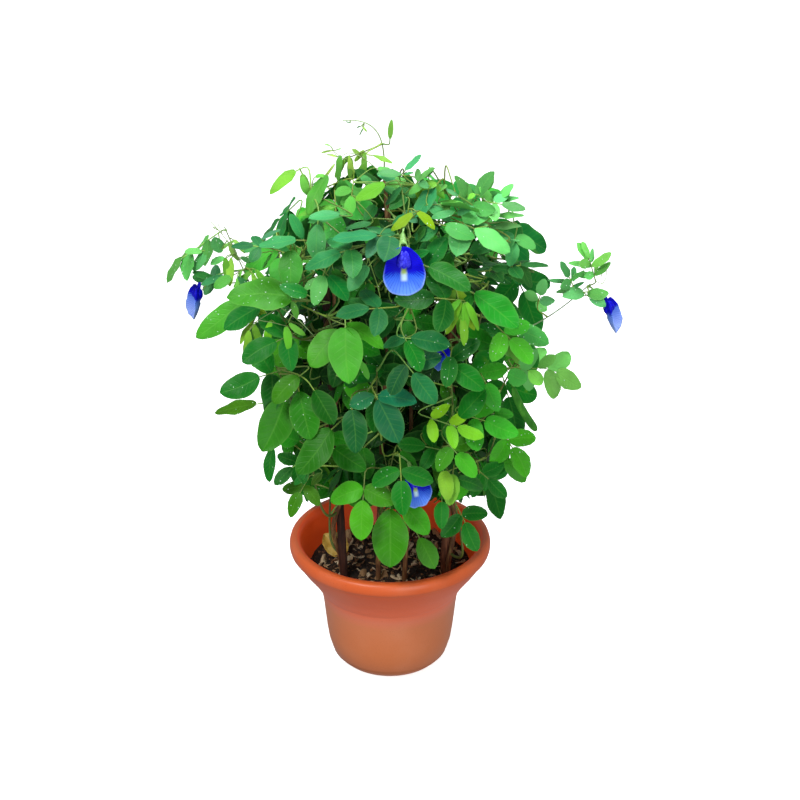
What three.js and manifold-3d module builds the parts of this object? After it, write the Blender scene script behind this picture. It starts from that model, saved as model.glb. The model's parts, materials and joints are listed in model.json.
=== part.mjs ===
// A butterfly pea in a plastic pot: pot, soil, two stakes, climbing stems, leafy shoots, blooms, a pod.
// Millimetres. The origin is the centre of the pot's underside, +Z is up and -Y is the front.
import * as THREE from 'three';
import { mergeVertices } from 'three/addons/utils/BufferGeometryUtils.js';
import Module from 'manifold-3d';

const wasm = await Module();
wasm.setup();

// Pot: rim diameter 210, height 143. Each profile point is [radius, height].
const potSegments = 28;
const potOutside = [
  [0, 0], [50, 0], [58.5, 6], [64, 18], [69, 54], [72, 78], [74.5, 87], [81.5, 98],
  [92.5, 113], [98, 121.5], [104, 130], [105, 135], [104, 140.5], [100, 143], [95, 143],
];
const potInside = [[92.5, 140], [89, 121], [84, 107], [73, 86], [66, 50], [61, 10], [0, 6]];
const drainHole = { radius: 4.5, ring: 32, count: 4, depth: 30, sides: 8 };

// Soil: fills the pot to 33 below the rim, a little higher in the middle.
const soilSegments = 16;
const soilGap = 0.4;
const soilTop = [[80, 108], [45, 109.5], [0, 110.5]];

// Stakes stand in the soil; the climbing stems wind round them or rise beside them.
const stakes = {
  left: { foot: [-46, -33, 80], head: [-62, -24, 430], radius: 4.3 },
  right: { foot: [57, -22, 80], head: [61, -4, 440], radius: 4.8 },
};
const vineRadius = 2.6;
const vineSides = 5;
const vines = {
  left: { stake: 'left', bottom: 90, windFrom: 125, top: 440, turns: 3, start: 200, steps: 28 },
  right: { stake: 'right', bottom: 90, windFrom: 125, top: 450, turns: 3, start: 20, steps: 28 },
  front: { path: [[-12, -34, 90], [-14, -38, 230], [4, -30, 400], [-5, -6, 530]], steps: 10 },
  inner: { path: [[14, -36, 90], [16, -44, 170], [26, -34, 260], [18, -16, 400]], steps: 7 },
  back: { path: [[8, 34, 90], [14, 40, 220], [-10, 34, 380], [0, 30, 500]], steps: 10 },
};
const windingGap = 1;
const tightening = 1.3;
const clearance = 0.3;

// How each kind of leaf grows: its leaflets' width to their length, how far they hang, how much their
// tips bend down, and how far its face turns up to the sky.
const kinds = {
  bud: { width: 0.3, droop: 0, arch: 0.05, rise: 35 },
  young: { width: 0.36, droop: 0.9, arch: 0.12, rise: 80 },
  fresh: { width: 0.62, droop: 0.1, arch: 0.12, rise: 35 },
  bright: { width: 0.64, droop: 0.1, arch: 0.16, rise: 35 },
  leaf: { width: 0.62, droop: 0.1, arch: 0.12, rise: 35 },
  pale: { width: 0.56, droop: 0, arch: 0.08, rise: 35 },
  mature: { width: 0.6, droop: 0.1, arch: 0.12, rise: 35 },
  olive: { width: 0.56, droop: 0.25, arch: 0.14, rise: 50 },
  old: { width: 0.64, droop: 0.1, arch: 0.1, rise: 30 },
};

// Leafy shoots of the front and sides. A shoot leaves its vine near height `from`, bends by `by` and
// ends at `to`. Each leaf is [x, y, z, clock, leaflets, size, kind]: the point where its end leaflet
// begins, the direction it points in as seen from outside (0 is up, 90 is right) and leaflet length,
// and after its kind whatever it has of its own.
const shoots = {
  crownTip: {
    vine: 'front', from: 'end', by: [0, -8, 592], to: [-44, -4, 586],
    leaves: [
      [0, -8, 570, 5, 1, 18, 'bud'], [-37, -14, 554, 249, 5, 20, 'young', { droop: 1.3, rise: 40 }],
      [-16, -20, 557, 96, 1, 20, 'young', { droop: 0.1, rise: 60 }],
    ],
  },
  crownLeft: {
    vine: 'left', from: 436, by: [-60, -14, 505], to: [-72, -60, 535],
    leaves: [
      [-87, -40, 548, 246, 1, 32, 'young', { droop: 0.3, rise: 40, width: 0.4 }],
      [-57, -60, 550, 216, 1, 40, 'fresh', { width: 0.38 }],
      [-79, -80, 496, 339, 1, 26, 'mature', { width: 0.5 }], [-65, -95, 515, 185, 1, 32, 'mature'],
      [-34, -75, 541, 189, 3, 18, 'fresh', { rise: 50 }],
      [-45, -100, 525, 279, 1, 28, 'mature', { rise: 72 }],
      [-81, -40, 545, 144, 1, 20, 'young', { droop: 0.3, rise: 40, width: 0.42 }],
    ],
  },
  crownRight: {
    vine: 'front', from: 490, by: [25, -20, 525], to: [52, -58, 535],
    leaves: [
      [14, -70, 558, 42, 1, 20, 'pale', { width: 0.4 }], [10, -75, 555, 280, 1, 22, 'pale'],
      [26, -80, 551, 45, 3, 14, 'pale'], [35, -75, 550, 180, 3, 24, 'young'],
      [40, -80, 545, 225, 1, 32, 'mature'], [75, -70, 525, 30, 3, 28, 'pale'],
    ],
  },
  upRight: {
    vine: 'right', from: 430, by: [80, -40, 470], to: [88, -66, 508],
    leaves: [
      [86, -60, 531, 18, 3, 18, 'pale', { width: 0.48 }],
      [94, -75, 526, 96, 3, 22, 'pale', { rise: 65 }], [51, -90, 536, 96, 1, 36, 'fresh', { rise: 70 }],
      [65, -95, 515, 105, 3, 38, 'mature'], [50, -105, 517, 99, 1, 28, 'mature', { rise: 65 }],
      [115, -70, 495, 200, 3, 22, 'mature'], [100, -85, 495, 265, 1, 30, 'mature'],
    ],
  },
  bloomFront: {
    vine: 'front', from: 440, by: [0, -60, 490], to: [16, -98, 520],
    leaves: [
      [20, -106, 529, 252, 1, 24, 'young', { droop: 0.2, rise: 50, width: 0.42, arch: 0.22 }],
      [0, -115, 510, 280, 3, 40, 'mature'], [-10, -115, 510, 215, 1, 22, 'pale'],
      [-5, -85, 550, 255, 1, 30, 'fresh'], [35, -125, 485, 105, 1, 42, 'mature'],
      [24, -104, 530, 114, 1, 22, 'young', { droop: 0.2, rise: 50, width: 0.42, arch: 0.22 }],
    ],
  },
  leftUpper: {
    vine: 'left', from: 385, by: [-74, -70, 430], to: [-84, -82, 480],
    leaves: [
      [-85, -95, 500, 275, 1, 34, 'mature'], [-120, -70, 485, 280, 3, 20, 'mature'],
      [-35, -120, 500, 260, 3, 34, 'mature'], [-20, -125, 485, 225, 1, 28, 'pale'],
      [-90, -95, 490, 180, 1, 36, 'fresh'], [-75, -115, 455, 300, 1, 26, 'mature'],
    ],
  },
  bloomLeft: {
    vine: 'left', from: 370, by: [-122, -46, 410], to: [-156, -28, 490],
    leaves: [
      [-192, -10, 458, 231, 5, 30, 'fresh', { droop: 0.5, width: 0.7 }],
      [-170, -10, 430, 280, 3, 18, 'mature'], [-150, -30, 460, 185, 1, 28, 'young'],
      [-140, -40, 450, 225, 1, 20, 'young'], [-130, -45, 450, 125, 1, 22, 'young'],
    ],
  },
  leftMid: {
    vine: 'left', from: 345, by: [-88, -70, 380], to: [-108, -84, 440],
    leaves: [
      [-146, -50, 426, 219, 1, 54, 'bright', { width: 0.44 }],
      [-89, -110, 451, 285, 1, 58, 'bright', { rise: 74 }], [-60, -120, 475, 200, 1, 28, 'pale'],
      [-55, -120, 475, 130, 1, 28, 'mature'], [-120, -80, 430, 250, 1, 40, 'mature'],
      [-95, -105, 410, 250, 3, 36, 'mature'],
    ],
  },
  frontLeft: {
    vine: 'front', from: 350, by: [-40, -90, 375], to: [-58, -104, 432],
    leaves: [
      [-40, -130, 429, 177, 1, 50, 'bright'],
      [-117, -90, 418, 240, 5, 26, 'young', { droop: 1.3, rise: 40 }],
      [-44, -128, 425, 234, 1, 42, 'bright'],
      [-40, -126, 430, 105, 1, 40, 'bright', { rise: 70, width: 0.5 }],
    ],
  },
  left: {
    vine: 'left', from: 290, by: [-90, -62, 310], to: [-108, -70, 365],
    leaves: [
      [-112, -80, 362, 258, 3, 40, 'mature'], [-85, -105, 370, 240, 1, 34, 'olive'],
      [-133, -20, 302, 261, 1, 44, 'olive', { rise: 75, width: 0.44, droop: 0 }],
      [-100, -90, 338, 207, 1, 52, 'leaf'], [-85, -100, 352, 162, 1, 46, 'leaf'],
      [-70, -115, 360, 140, 1, 36, 'leaf'],
    ],
  },
  lowLeft: {
    vine: 'left', from: 210, by: [-76, -66, 240], to: [-78, -82, 305],
    leaves: [
      [-55, -115, 320, 235, 1, 52, 'olive'], [-116, -45, 266, 180, 1, 34, 'mature', { width: 0.36 }],
      [-89, -80, 267, 237, 3, 24, 'mature'], [-84, -80, 242, 213, 3, 26, 'olive'],
    ],
  },
  lowFront: {
    vine: 'front', from: 190, by: [-10, -84, 220], to: [4, -92, 285],
    leaves: [
      [-25, -110, 255, 185, 3, 38, 'fresh'], [0, -105, 230, 180, 1, 56, 'old'],
      [10, -115, 277, 176, 3, 33, 'mature'], [15, -110, 235, 130, 1, 34, 'old'],
      [29, -95, 192, 145, 1, 33, 'old'],
    ],
  },
  frontCentre: {
    vine: 'inner', from: 380, by: [20, -80, 400], to: [18, -108, 450],
    leaves: [
      [15, -135, 418, 147, 1, 30, 'mature'], [-10, -135, 450, 272, 3, 30, 'mature'],
      [50, -125, 455, 280, 3, 36, 'leaf'], [19, -133, 420, 87, 1, 36, 'mature', { rise: 60 }],
      [14, -131, 420, 261, 1, 22, 'mature', { rise: 60 }],
    ],
  },
  frontLow: {
    vine: 'front', from: 285, by: [-14, -90, 310], to: [-12, -108, 380],
    leaves: [
      [-11, -130, 358, 147, 1, 44, 'mature'], [-35, -125, 345, 175, 1, 40, 'mature'],
      [15, -135, 395, 135, 3, 34, 'mature'], [-11, -128, 360, 84, 1, 36, 'mature', { rise: 72 }],
      [-15, -128, 361, 258, 1, 24, 'mature', { width: 0.7 }],
    ],
  },
  frontRight: {
    vine: 'right', from: 285, by: [60, -80, 310], to: [56, -100, 385],
    leaves: [
      [59, -122, 387, 117, 1, 34, 'mature'], [65, -110, 330, 35, 1, 36, 'mature'],
      [56, -115, 325, 102, 5, 26, 'pale'], [58, -110, 299, 132, 3, 28, 'fresh'],
      [57, -120, 395, 48, 1, 30, 'mature'], [55, -124, 398, 189, 1, 28, 'mature'],
    ],
  },
  rightUpper: {
    vine: 'right', from: 385, by: [84, -60, 410], to: [92, -84, 460],
    leaves: [
      [110, -85, 475, 60, 7, 26, 'mature'], [76, -115, 456, 114, 1, 50, 'leaf'],
      [120, -75, 405, 105, 1, 32, 'fresh'], [65, -125, 445, 170, 5, 26, 'young'],
      [105, -95, 410, 130, 3, 30, 'fresh'], [74, -115, 456, 243, 1, 32, 'leaf'],
    ],
  },
  bloomRight: {
    vine: 'right', from: 350, by: [138, -60, 394], to: [192, -22, 430],
    leaves: [
      [142, -40, 421, 15, 3, 16, 'leaf', { width: 0.7 }],
      [173, -30, 436, 336, 3, 18, 'mature', { width: 0.66 }],
      [191, -25, 453, 342, 5, 18, 'fresh', { width: 0.66 }], [190, -25, 420, 80, 1, 22, 'mature'],
      [185, -30, 425, 280, 1, 24, 'mature'],
    ],
  },
  rightMid: {
    vine: 'right', from: 310, by: [100, -50, 320], to: [122, -48, 362],
    leaves: [
      [155, -20, 340, 108, 5, 32, 'fresh', { droop: 0.35, width: 0.66 }],
      [110, -85, 370, 275, 1, 28, 'leaf'], [90, -100, 360, 150, 1, 28, 'leaf'],
      [100, -80, 320, 85, 1, 18, 'leaf'], [80, -100, 325, 100, 3, 34, 'leaf'],
    ],
  },
  lowRight: {
    vine: 'right', from: 215, by: [92, -56, 230], to: [102, -62, 285],
    leaves: [
      [115, -55, 280, 150, 3, 32, 'fresh'], [115, -40, 250, 135, 1, 30, 'fresh'],
      [90, -80, 255, 125, 3, 25, 'mature'], [65, -100, 260, 100, 1, 26, 'mature'],
    ],
  },
  rimRight: {
    vine: 'right', from: 150, by: [66, -72, 190], to: [60, -84, 255],
    leaves: [
      [50, -100, 235, 180, 1, 26, 'mature'], [70, -80, 210, 150, 3, 30, 'mature'],
      [50, -105, 270, 185, 1, 28, 'olive'], [60, -100, 265, 190, 1, 30, 'olive'],
    ],
  },
};

// Shoots of the back: one at each turn of each tier, with leaves set round its end on the crown, or
// inside it by the tier's inset. A tier has as many of the leaves as it names.
const backTiers = [
  { height: 250, from: 170, inset: 0, leaves: 3, turns: [105, 150, 195, 240] },
  { height: 350, from: 270, inset: 0, leaves: 3, turns: [95, 135, 180, 225, 262] },
  { height: 450, from: 360, inset: 0, leaves: 3, turns: [110, 155, 205, 250] },
  { height: 490, from: 420, inset: 36, leaves: 2, turns: [125, 180, 235] },
];
const backLeaves = [
  { turn: -13, rise: 26, clock: 215 },
  { turn: 12, rise: 6, clock: 140 },
  { turn: -9, rise: -32, clock: 190 },
];
const backSize = 45;
const backSway = 18;
const vineTurns = { right: 140, back: 220 };
const backRise = 50;
const bendInset = 54;
const stemInset = 34;
const leafInset = 18;

// The crown's outline: [height, radius], a little shallower from front to back.
const crown = [
  [100, 95], [200, 110], [300, 130], [400, 146], [450, 148], [500, 132], [550, 92], [600, 20],
];
const crownDepth = 0.92;

// Blooms: `at` is the top of the banner petal, `turn` the way it faces, `tilt` how far its foot swings
// out and `curl` how far its sides come forward.
const bloomSize = { length: 44, width: 37, thick: 1.4, rim: 10, ring: 0.6, narrowing: 0.16, seat: 0.4 };
const keelSize = { width: 3.6, length: 8, height: 4.6, sides: 5, rows: 4, below: 11, before: 1.6 };
const blooms = {
  front: { at: [12, -132, 507], turn: 4, tilt: 14, curl: 4, scale: 1, shoot: 'bloomFront' },
  left: { at: [-184, -14, 426], turn: -68, tilt: 12, curl: 12, scale: 0.72, shoot: 'bloomLeft' },
  right: { at: [208, -20, 414], turn: 70, tilt: 20, curl: 12, scale: 0.78, shoot: 'bloomRight' },
  low: { at: [22, -104, 270], turn: 24, tilt: 22, curl: 4, scale: 0.8, shoot: 'lowFront' },
  upper: { at: [-28, -104, 492], turn: -64, tilt: 10, curl: 8, scale: 0.6, shoot: 'bloomFront' },
  middle: { at: [44, -92, 398], turn: 40, tilt: 14, curl: 8, scale: 0.6, shoot: 'frontCentre' },
};
const calyx = { length: 15, mouth: 3.4, foot: 1.7, sides: 6, slope: 42, behind: 2.6, below: 1.5, bow: 3 };

// Pod: hangs from the right middle shoot.
const pod = { top: [116, -64, 338], tip: [143, -48, 284], width: 9, thick: 4.2, bend: 3, shoot: 'rightMid' };
const podForm = { across: [0.8, -0.6, 0], bluntness: 6, sides: 8, bow: 6 };

// A yellow leaf that has fallen on the soil and leans on the pot's wall.
const fallenLeaf = { at: [-48, 12, 109.9], clock: 304, rise: 0.7, length: 32, width: 27, arch: 0.05 };
const fallenFace = [0.4, -0.9, 1];

// Green stems and leaves. A leaf is one thin body: its stalk and rib are a strip of diamond section
// and each leaflet is a blade, thick along the middle and sharp at its outline, which is plainer where
// the leaflet is short.
const shootStem = {
  radius: 1.6, sides: 3, step: 22, fewest: 6, bend: 2.5, lead: 0.3, last: 0.85,
  seats: [0.8, 0.9],
};
const stalk = { half: 0.9, rise: 0.75, root: 0.65, lead: 0.35, steps: [1, 0.6, 0] };
const longStalk = { from: 45, steps: [1, 0.72, 0.4, 0] };
const blade = {
  thick: 1.5, fold: 0.16, outline: [[0.34, 0.9], [0.72, 0.82]], shortUnder: 22, shortOutline: [[0.5, 0.95]],
};

// A leaf's leaflets: how far its pairs spread, less where there are more than three leaflets, their
// spacing and length to the leaflet length, the half width of a pair's joint on the rib, and where the
// rib's straight part begins behind the lowest pair.
const leafPairs = {
  spread: 71, manySpread: 58, spacing: 0.72, end: 0.3, joint: 1.3, length: 0.92, less: 0.05, slim: 0.9,
};
const leafFoot = { paired: 0.4, single: 0.25 };

// How leaves stand, in degrees: a leaf at the side turns back to the front, one that points down leans
// out, and each differs a little by its draw.
const leafPose = { turnBack: 60, lean: 15, swing: 20, roll: 14, spread: 4, length: 0.06 };

// How far the faces of the crown's upper leaves turn up besides, in degrees, from which height and over
// what height.
const flatTop = { more: 35, from: 400, over: 100 };

// How much further each new try turns, leans, rolls and shifts a leaf that met another node.
const sway = { step: 0.3, clock: 12, lean: 9, roll: 12, inward: 2.4, shift: 3 };
const maxTries = 26;

// Where a shoot leaves its vine: places tried along it, what a turn away costs in height, and how far
// on the way to the shoot's end it aims.
const shootSeat = { samples: 200, turnCost: 70, aim: 0.3 };
const finest = 0.05;

const colours = {
  pot: 0xc4512a,
  soil: 0x2e2219,
  stake: 0x5b4334,
  vine: 0x6a5138,
  darkLeaf: 0x2f7a3a,
  freshLeaf: 0x57a637,
  petal: 0x2a51d1,
  pod: 0x3f6f2c,
  yellowLeaf: 0xc9a94b,
};

const vec = (p) => new THREE.Vector3(p[0], p[1], p[2]);
const upward = new THREE.Vector3(0, 0, 1);
const radians = THREE.MathUtils.degToRad;

// The point `step` mixed of start and end, and a sum of vectors each times its amount.
function mix(start, end, step) {
  return start.clone().lerp(end, step);
}

function sum(...pairs) {
  const total = new THREE.Vector3();
  for (const [vector, amount] of pairs) {
    total.addScaledVector(vector, amount);
  }
  return total;
}

// A repeatable draw from -1 to 1 for a whole number.
function draw(number) {
  const wave = Math.sin(number * 12.9898) * 43758.5453;
  return 2 * (wave - Math.floor(wave)) - 1;
}

// Horizontal direction away from the pot's axis for a turn about it: 0 is the front, 90 the right.
function outwardAt(turn) {
  return new THREE.Vector3(Math.sin(turn), -Math.cos(turn), 0);
}

// Solids: a closed geometry becomes a solid that can be joined and cut, and turns back into a geometry.
function solidOf(geometry) {
  const bare = geometry.clone();
  bare.deleteAttribute('normal');
  bare.deleteAttribute('uv');
  const merged = mergeVertices(bare, 1e-4);
  return new wasm.Manifold(new wasm.Mesh({
    numProp: 3,
    vertProperties: new Float32Array(merged.attributes.position.array),
    triVerts: new Uint32Array(merged.index.array),
  }));
}

function geometryOf(solid) {
  const mesh = solid.getMesh();
  const geometry = new THREE.BufferGeometry();
  geometry.setAttribute('position', new THREE.BufferAttribute(new Float32Array(mesh.vertProperties), 3));
  geometry.setIndex(new THREE.BufferAttribute(new Uint32Array(mesh.triVerts), 1));
  geometry.computeVertexNormals();
  return geometry;
}

function join(solids) {
  return solids.reduce((whole, next) => whole.add(next));
}

function tube(curve, radius, sides, steps) {
  const section = new THREE.Shape();
  for (let side = 0; side < sides; side += 1) {
    const angle = (2 * Math.PI * side) / sides;
    const point = [radius * Math.cos(angle), radius * Math.sin(angle)];
    if (side === 0) {
      section.moveTo(...point);
    } else {
      section.lineTo(...point);
    }
  }
  return solidOf(new THREE.ExtrudeGeometry(section, { steps, extrudePath: curve, bevelEnabled: false }));
}

function pointedSolid(points, triangles) {
  const geometry = new THREE.BufferGeometry();
  geometry.setAttribute('position', new THREE.Float32BufferAttribute(points.flatMap((p) => p.toArray()), 3));
  geometry.setIndex(triangles.flat());
  return solidOf(geometry);
}

// Pot and soil
function potSolid() {
  const profile = [...potOutside, ...potInside].map(([radius, height]) => new THREE.Vector2(radius, height));
  let solid = solidOf(new THREE.LatheGeometry(profile, potSegments).rotateX(Math.PI / 2));
  for (let hole = 0; hole < drainHole.count; hole += 1) {
    const { radius, depth, sides } = drainHole;
    const drill = new THREE.CylinderGeometry(radius, radius, depth, sides);
    drill.rotateX(Math.PI / 2);
    const place = outwardAt((2 * Math.PI * (hole + 0.5)) / drainHole.count).multiplyScalar(drainHole.ring);
    drill.translate(place.x, place.y, 0);
    solid = solid.subtract(solidOf(drill));
  }
  return solid;
}

function soilSolid(stems) {
  const flatOfPot = Math.cos(Math.PI / potSegments);
  const side = potInside.slice(2, -1).reverse().map(([radius, height]) => [
    radius * flatOfPot - soilGap, Math.max(height, potInside.at(-1)[1] + 5 * soilGap),
  ]);
  const profile = [[0, potInside.at(-1)[1] + 2 * soilGap], ...side, ...soilTop];
  const points = profile.map(([radius, height]) => new THREE.Vector2(radius, height));
  const solid = solidOf(new THREE.LatheGeometry(points, soilSegments).rotateX(Math.PI / 2));
  return stems.reduce((soil, stem) => soil.subtract(stem), solid);
}

// Stakes and the brown stems that climb on them
function stakeCurve(stake) {
  return new THREE.LineCurve3(vec(stake.foot), vec(stake.head));
}

function stakePoint(stake, height) {
  const step = (height - stake.foot[2]) / (stake.head[2] - stake.foot[2]);
  return mix(vec(stake.foot), vec(stake.head), step);
}

// A stem that winds round its stake: straight up out of the soil, then in turns.
class WindingCurve extends THREE.Curve {
  constructor(vine) {
    super();
    this.vine = vine;
  }

  getPoint(step, target = new THREE.Vector3()) {
    const { vine } = this;
    const stake = stakes[vine.stake];
    const height = vine.bottom + step * (vine.top - vine.bottom);
    const wound = Math.max(0, (height - vine.windFrom) / (vine.top - vine.windFrom));
    const turn = radians(vine.start) + 2 * Math.PI * vine.turns * wound ** tightening;
    const reach = stake.radius + vineRadius + windingGap;
    return target.copy(stakePoint(stake, height)).addScaledVector(outwardAt(turn), reach);
  }
}

function vineCurve(vine) {
  if (vine.stake) {
    return new WindingCurve(vine);
  }
  return new THREE.CubicBezierCurve3(...vine.path.map(vec));
}

// Where a shoot leaves its vine: near the wanted height, on the side that faces the way it goes, or on
// from the vine's end. It starts square to the vine, a little off its bark, where `seat` is the share of
// the vine's radius that its faceted bark reaches there.
function shootStart(shoot, seat) {
  const vine = vines[shoot.vine];
  const curve = vineCurve(vine);
  if (shoot.from === 'end') {
    const out = curve.getTangent(1);
    return { out, point: curve.getPoint(1).addScaledVector(out, clearance) };
  }
  const goal = mix(vec(shoot.by), vec(shoot.to), shootSeat.aim);
  let best = { score: Infinity };
  for (let index = 0; index <= shootSeat.samples; index += 1) {
    const point = curve.getPoint(index / shootSeat.samples);
    const tangent = curve.getTangent(index / shootSeat.samples);
    const away = goal.clone().sub(point).setZ(0).normalize();
    const from = vine.stake ? point.clone().sub(stakePoint(stakes[vine.stake], point.z)) : away.clone();
    const out = from.addScaledVector(tangent, -from.dot(tangent)).normalize();
    const score = Math.abs(point.z - shoot.from) + shootSeat.turnCost * (1 - out.dot(away));
    if (score < best.score) {
      best = { score, point, out };
    }
  }
  const reach = seat * vineRadius + clearance;
  return { out: best.out, point: best.point.clone().addScaledVector(best.out, reach) };
}

function shootCurve(shoot, seat, bend) {
  const { point, out } = shootStart(shoot, seat);
  const end = vec(shoot.to);
  const second = sum([point, 1], [out, end.distanceTo(point) * shootStem.lead]);
  return new THREE.CubicBezierCurve3(point, second, vec(shoot.by).add(bend), end);
}

// A blade's points: its outline from the right of its base round the tip to the left, and its middle.
function bladePoints(leaflet) {
  const { base, along, face, length, width, arch } = leaflet;
  const side = face.clone().cross(along);
  const place = (step, across, lift) => sum(
    [base, 1], [along, step * length], [side, (across * width) / 2],
    [face, lift + (blade.fold * Math.abs(across) * width) / 2 - arch * length * step * step],
  );
  const outline = length < blade.shortUnder ? blade.shortOutline : blade.outline;
  const right = outline.map(([step, across]) => place(step, -across, 0));
  const left = outline.map(([step, across]) => place(step, across, 0)).reverse();
  return {
    ring: [...right, place(1, 0, 0), ...left],
    top: place(0.5, 0, blade.thick / 2),
    low: place(0.5, 0, -blade.thick / 2),
  };
}

// A thin body drawn as one outline with a top and a low side. Faces are given once, as the top's, and
// made again turned over for the low side, where each middle point has its own twin.
class ThinBody {
  constructor() {
    this.points = [];
    this.triangles = [];
    this.twins = new Map();
  }

  edge(point) {
    return this.points.push(point) - 1;
  }

  middle(top, low) {
    const index = this.edge(top);
    this.twins.set(index, this.edge(low));
    return index;
  }

  face(...corners) {
    this.triangles.push(corners);
    this.triangles.push(corners.map((corner) => this.twins.get(corner) ?? corner).reverse());
  }

  // A leaflet between two edge points and the middle point of the rib that it grows from.
  leaflet(leaflet, rib, first, last) {
    const { ring, top, low } = bladePoints(leaflet);
    const centre = this.middle(top, low);
    const loop = [rib, first, ...ring.map((point) => this.edge(point)), last];
    loop.forEach((corner, index) => this.face(centre, corner, loop[(index + 1) % loop.length]));
  }

  solid() {
    const geometry = new THREE.BufferGeometry();
    const places = this.points.flatMap((point) => point.toArray());
    geometry.setAttribute('position', new THREE.Float32BufferAttribute(places, 3));
    geometry.setIndex(this.triangles.flat());
    return solidOf(geometry);
  }
}

// How a leaf grows: as its kind does, flatter towards the top of the crown unless it hangs, apart from
// what it has of its own.
function growthOf([, , height, , , , kindName, own]) {
  const kind = kinds[kindName];
  const flatter = kindName === 'young' ? 0 : flatTop.more;
  const share = Math.min(1, Math.max(0, (height - flatTop.from) / flatTop.over));
  return { ...kind, rise: kind.rise + flatter * share, ...own };
}

// The frame of a leaf on its given try: each later try turns it, leans it and draws it in a little more.
function leafFrame(leaf, seed, attempt) {
  const [x, y, z, clock] = leaf;
  const round = Math.atan2(x, -y);
  const facing = round - radians(leafPose.turnBack) * Math.sin(round);
  const loose = sway.step * attempt;
  const change = (part) => draw(seed * 101 + attempt * 13 + part);
  const out = outwardAt(facing);
  const right = outwardAt(facing + Math.PI / 2);
  const angle = radians(clock + sway.clock * loose * change(1));
  const tipped = leafPose.lean - leafPose.swing * Math.cos(angle);
  const lean = radians(tipped + sway.lean * loose * change(2));
  const along = sum([right, Math.sin(angle) * Math.cos(lean)], [upward, Math.cos(angle) * Math.cos(lean)],
    [out, Math.sin(lean)]);
  const rise = radians(growthOf(leaf).rise);
  const sky = sum([out, Math.cos(rise)], [upward, Math.sin(rise)]);
  const face = sky.addScaledVector(along, -sky.dot(along)).normalize();
  const roll = leafPose.roll * draw(seed * 7 + 3) + sway.roll * loose * change(3);
  face.applyAxisAngle(along, radians(roll));
  const at = sum([new THREE.Vector3(x, y, z), 1], [out, -sway.inward * loose * Math.abs(change(4))],
    [right, sway.shift * loose * change(5)], [upward, sway.shift * loose * change(6)]);
  return { at, along, face };
}

// A leaf's leaflets: pairs along its rib, each with its place on the rib, and one at the end.
function leafPlan(leaf, seed, attempt) {
  const [, , , , count, size] = leaf;
  const kind = growthOf(leaf);
  const frame = leafFrame(leaf, seed, attempt);
  const { at, along, face } = frame;
  const side = face.clone().cross(along);
  const slim = count > 3 ? leafPairs.slim : 1;
  const opening = count > 3 ? leafPairs.manySpread : leafPairs.spread;
  const grow = (base, direction, length) => {
    const hung = sum([direction, 1], [upward, -kind.droop]).normalize();
    const turned = face.clone().addScaledVector(hung, -face.dot(hung)).normalize();
    return { base, along: hung, face: turned, length, width: slim * kind.width * length, arch: kind.arch };
  };
  const pairs = [];
  for (let pair = (count - 1) / 2 - 1; pair >= 0; pair -= 1) {
    const place = sum([at, 1], [along, -leafPairs.spacing * size * pair]);
    const [right, left] = [-1, 1].map((hand) => {
      const spread = radians(opening + leafPose.spread * draw(seed * 17 + pair * 5 + hand));
      const longer = leafPose.length * draw(seed * 19 + pair * 3 + hand);
      const length = size * (leafPairs.length - leafPairs.less * pair + longer);
      const direction = sum([along, Math.cos(spread)], [side, hand * Math.sin(spread)]);
      return grow(sum([place, 1], [side, hand * stalk.half]), direction, length);
    });
    pairs.push({ place, right, left });
  }
  const end = sum([at, 1], [along, pairs.length ? leafPairs.end * size : 0]);
  const reach = pairs.length ? leafPairs.spacing * (pairs.length - 1) + leafFoot.paired : leafFoot.single;
  const foot = sum([at, 1], [along, -size * reach]);
  return { ...frame, side, pairs, end: grow(end, along, size), foot };
}

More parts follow.
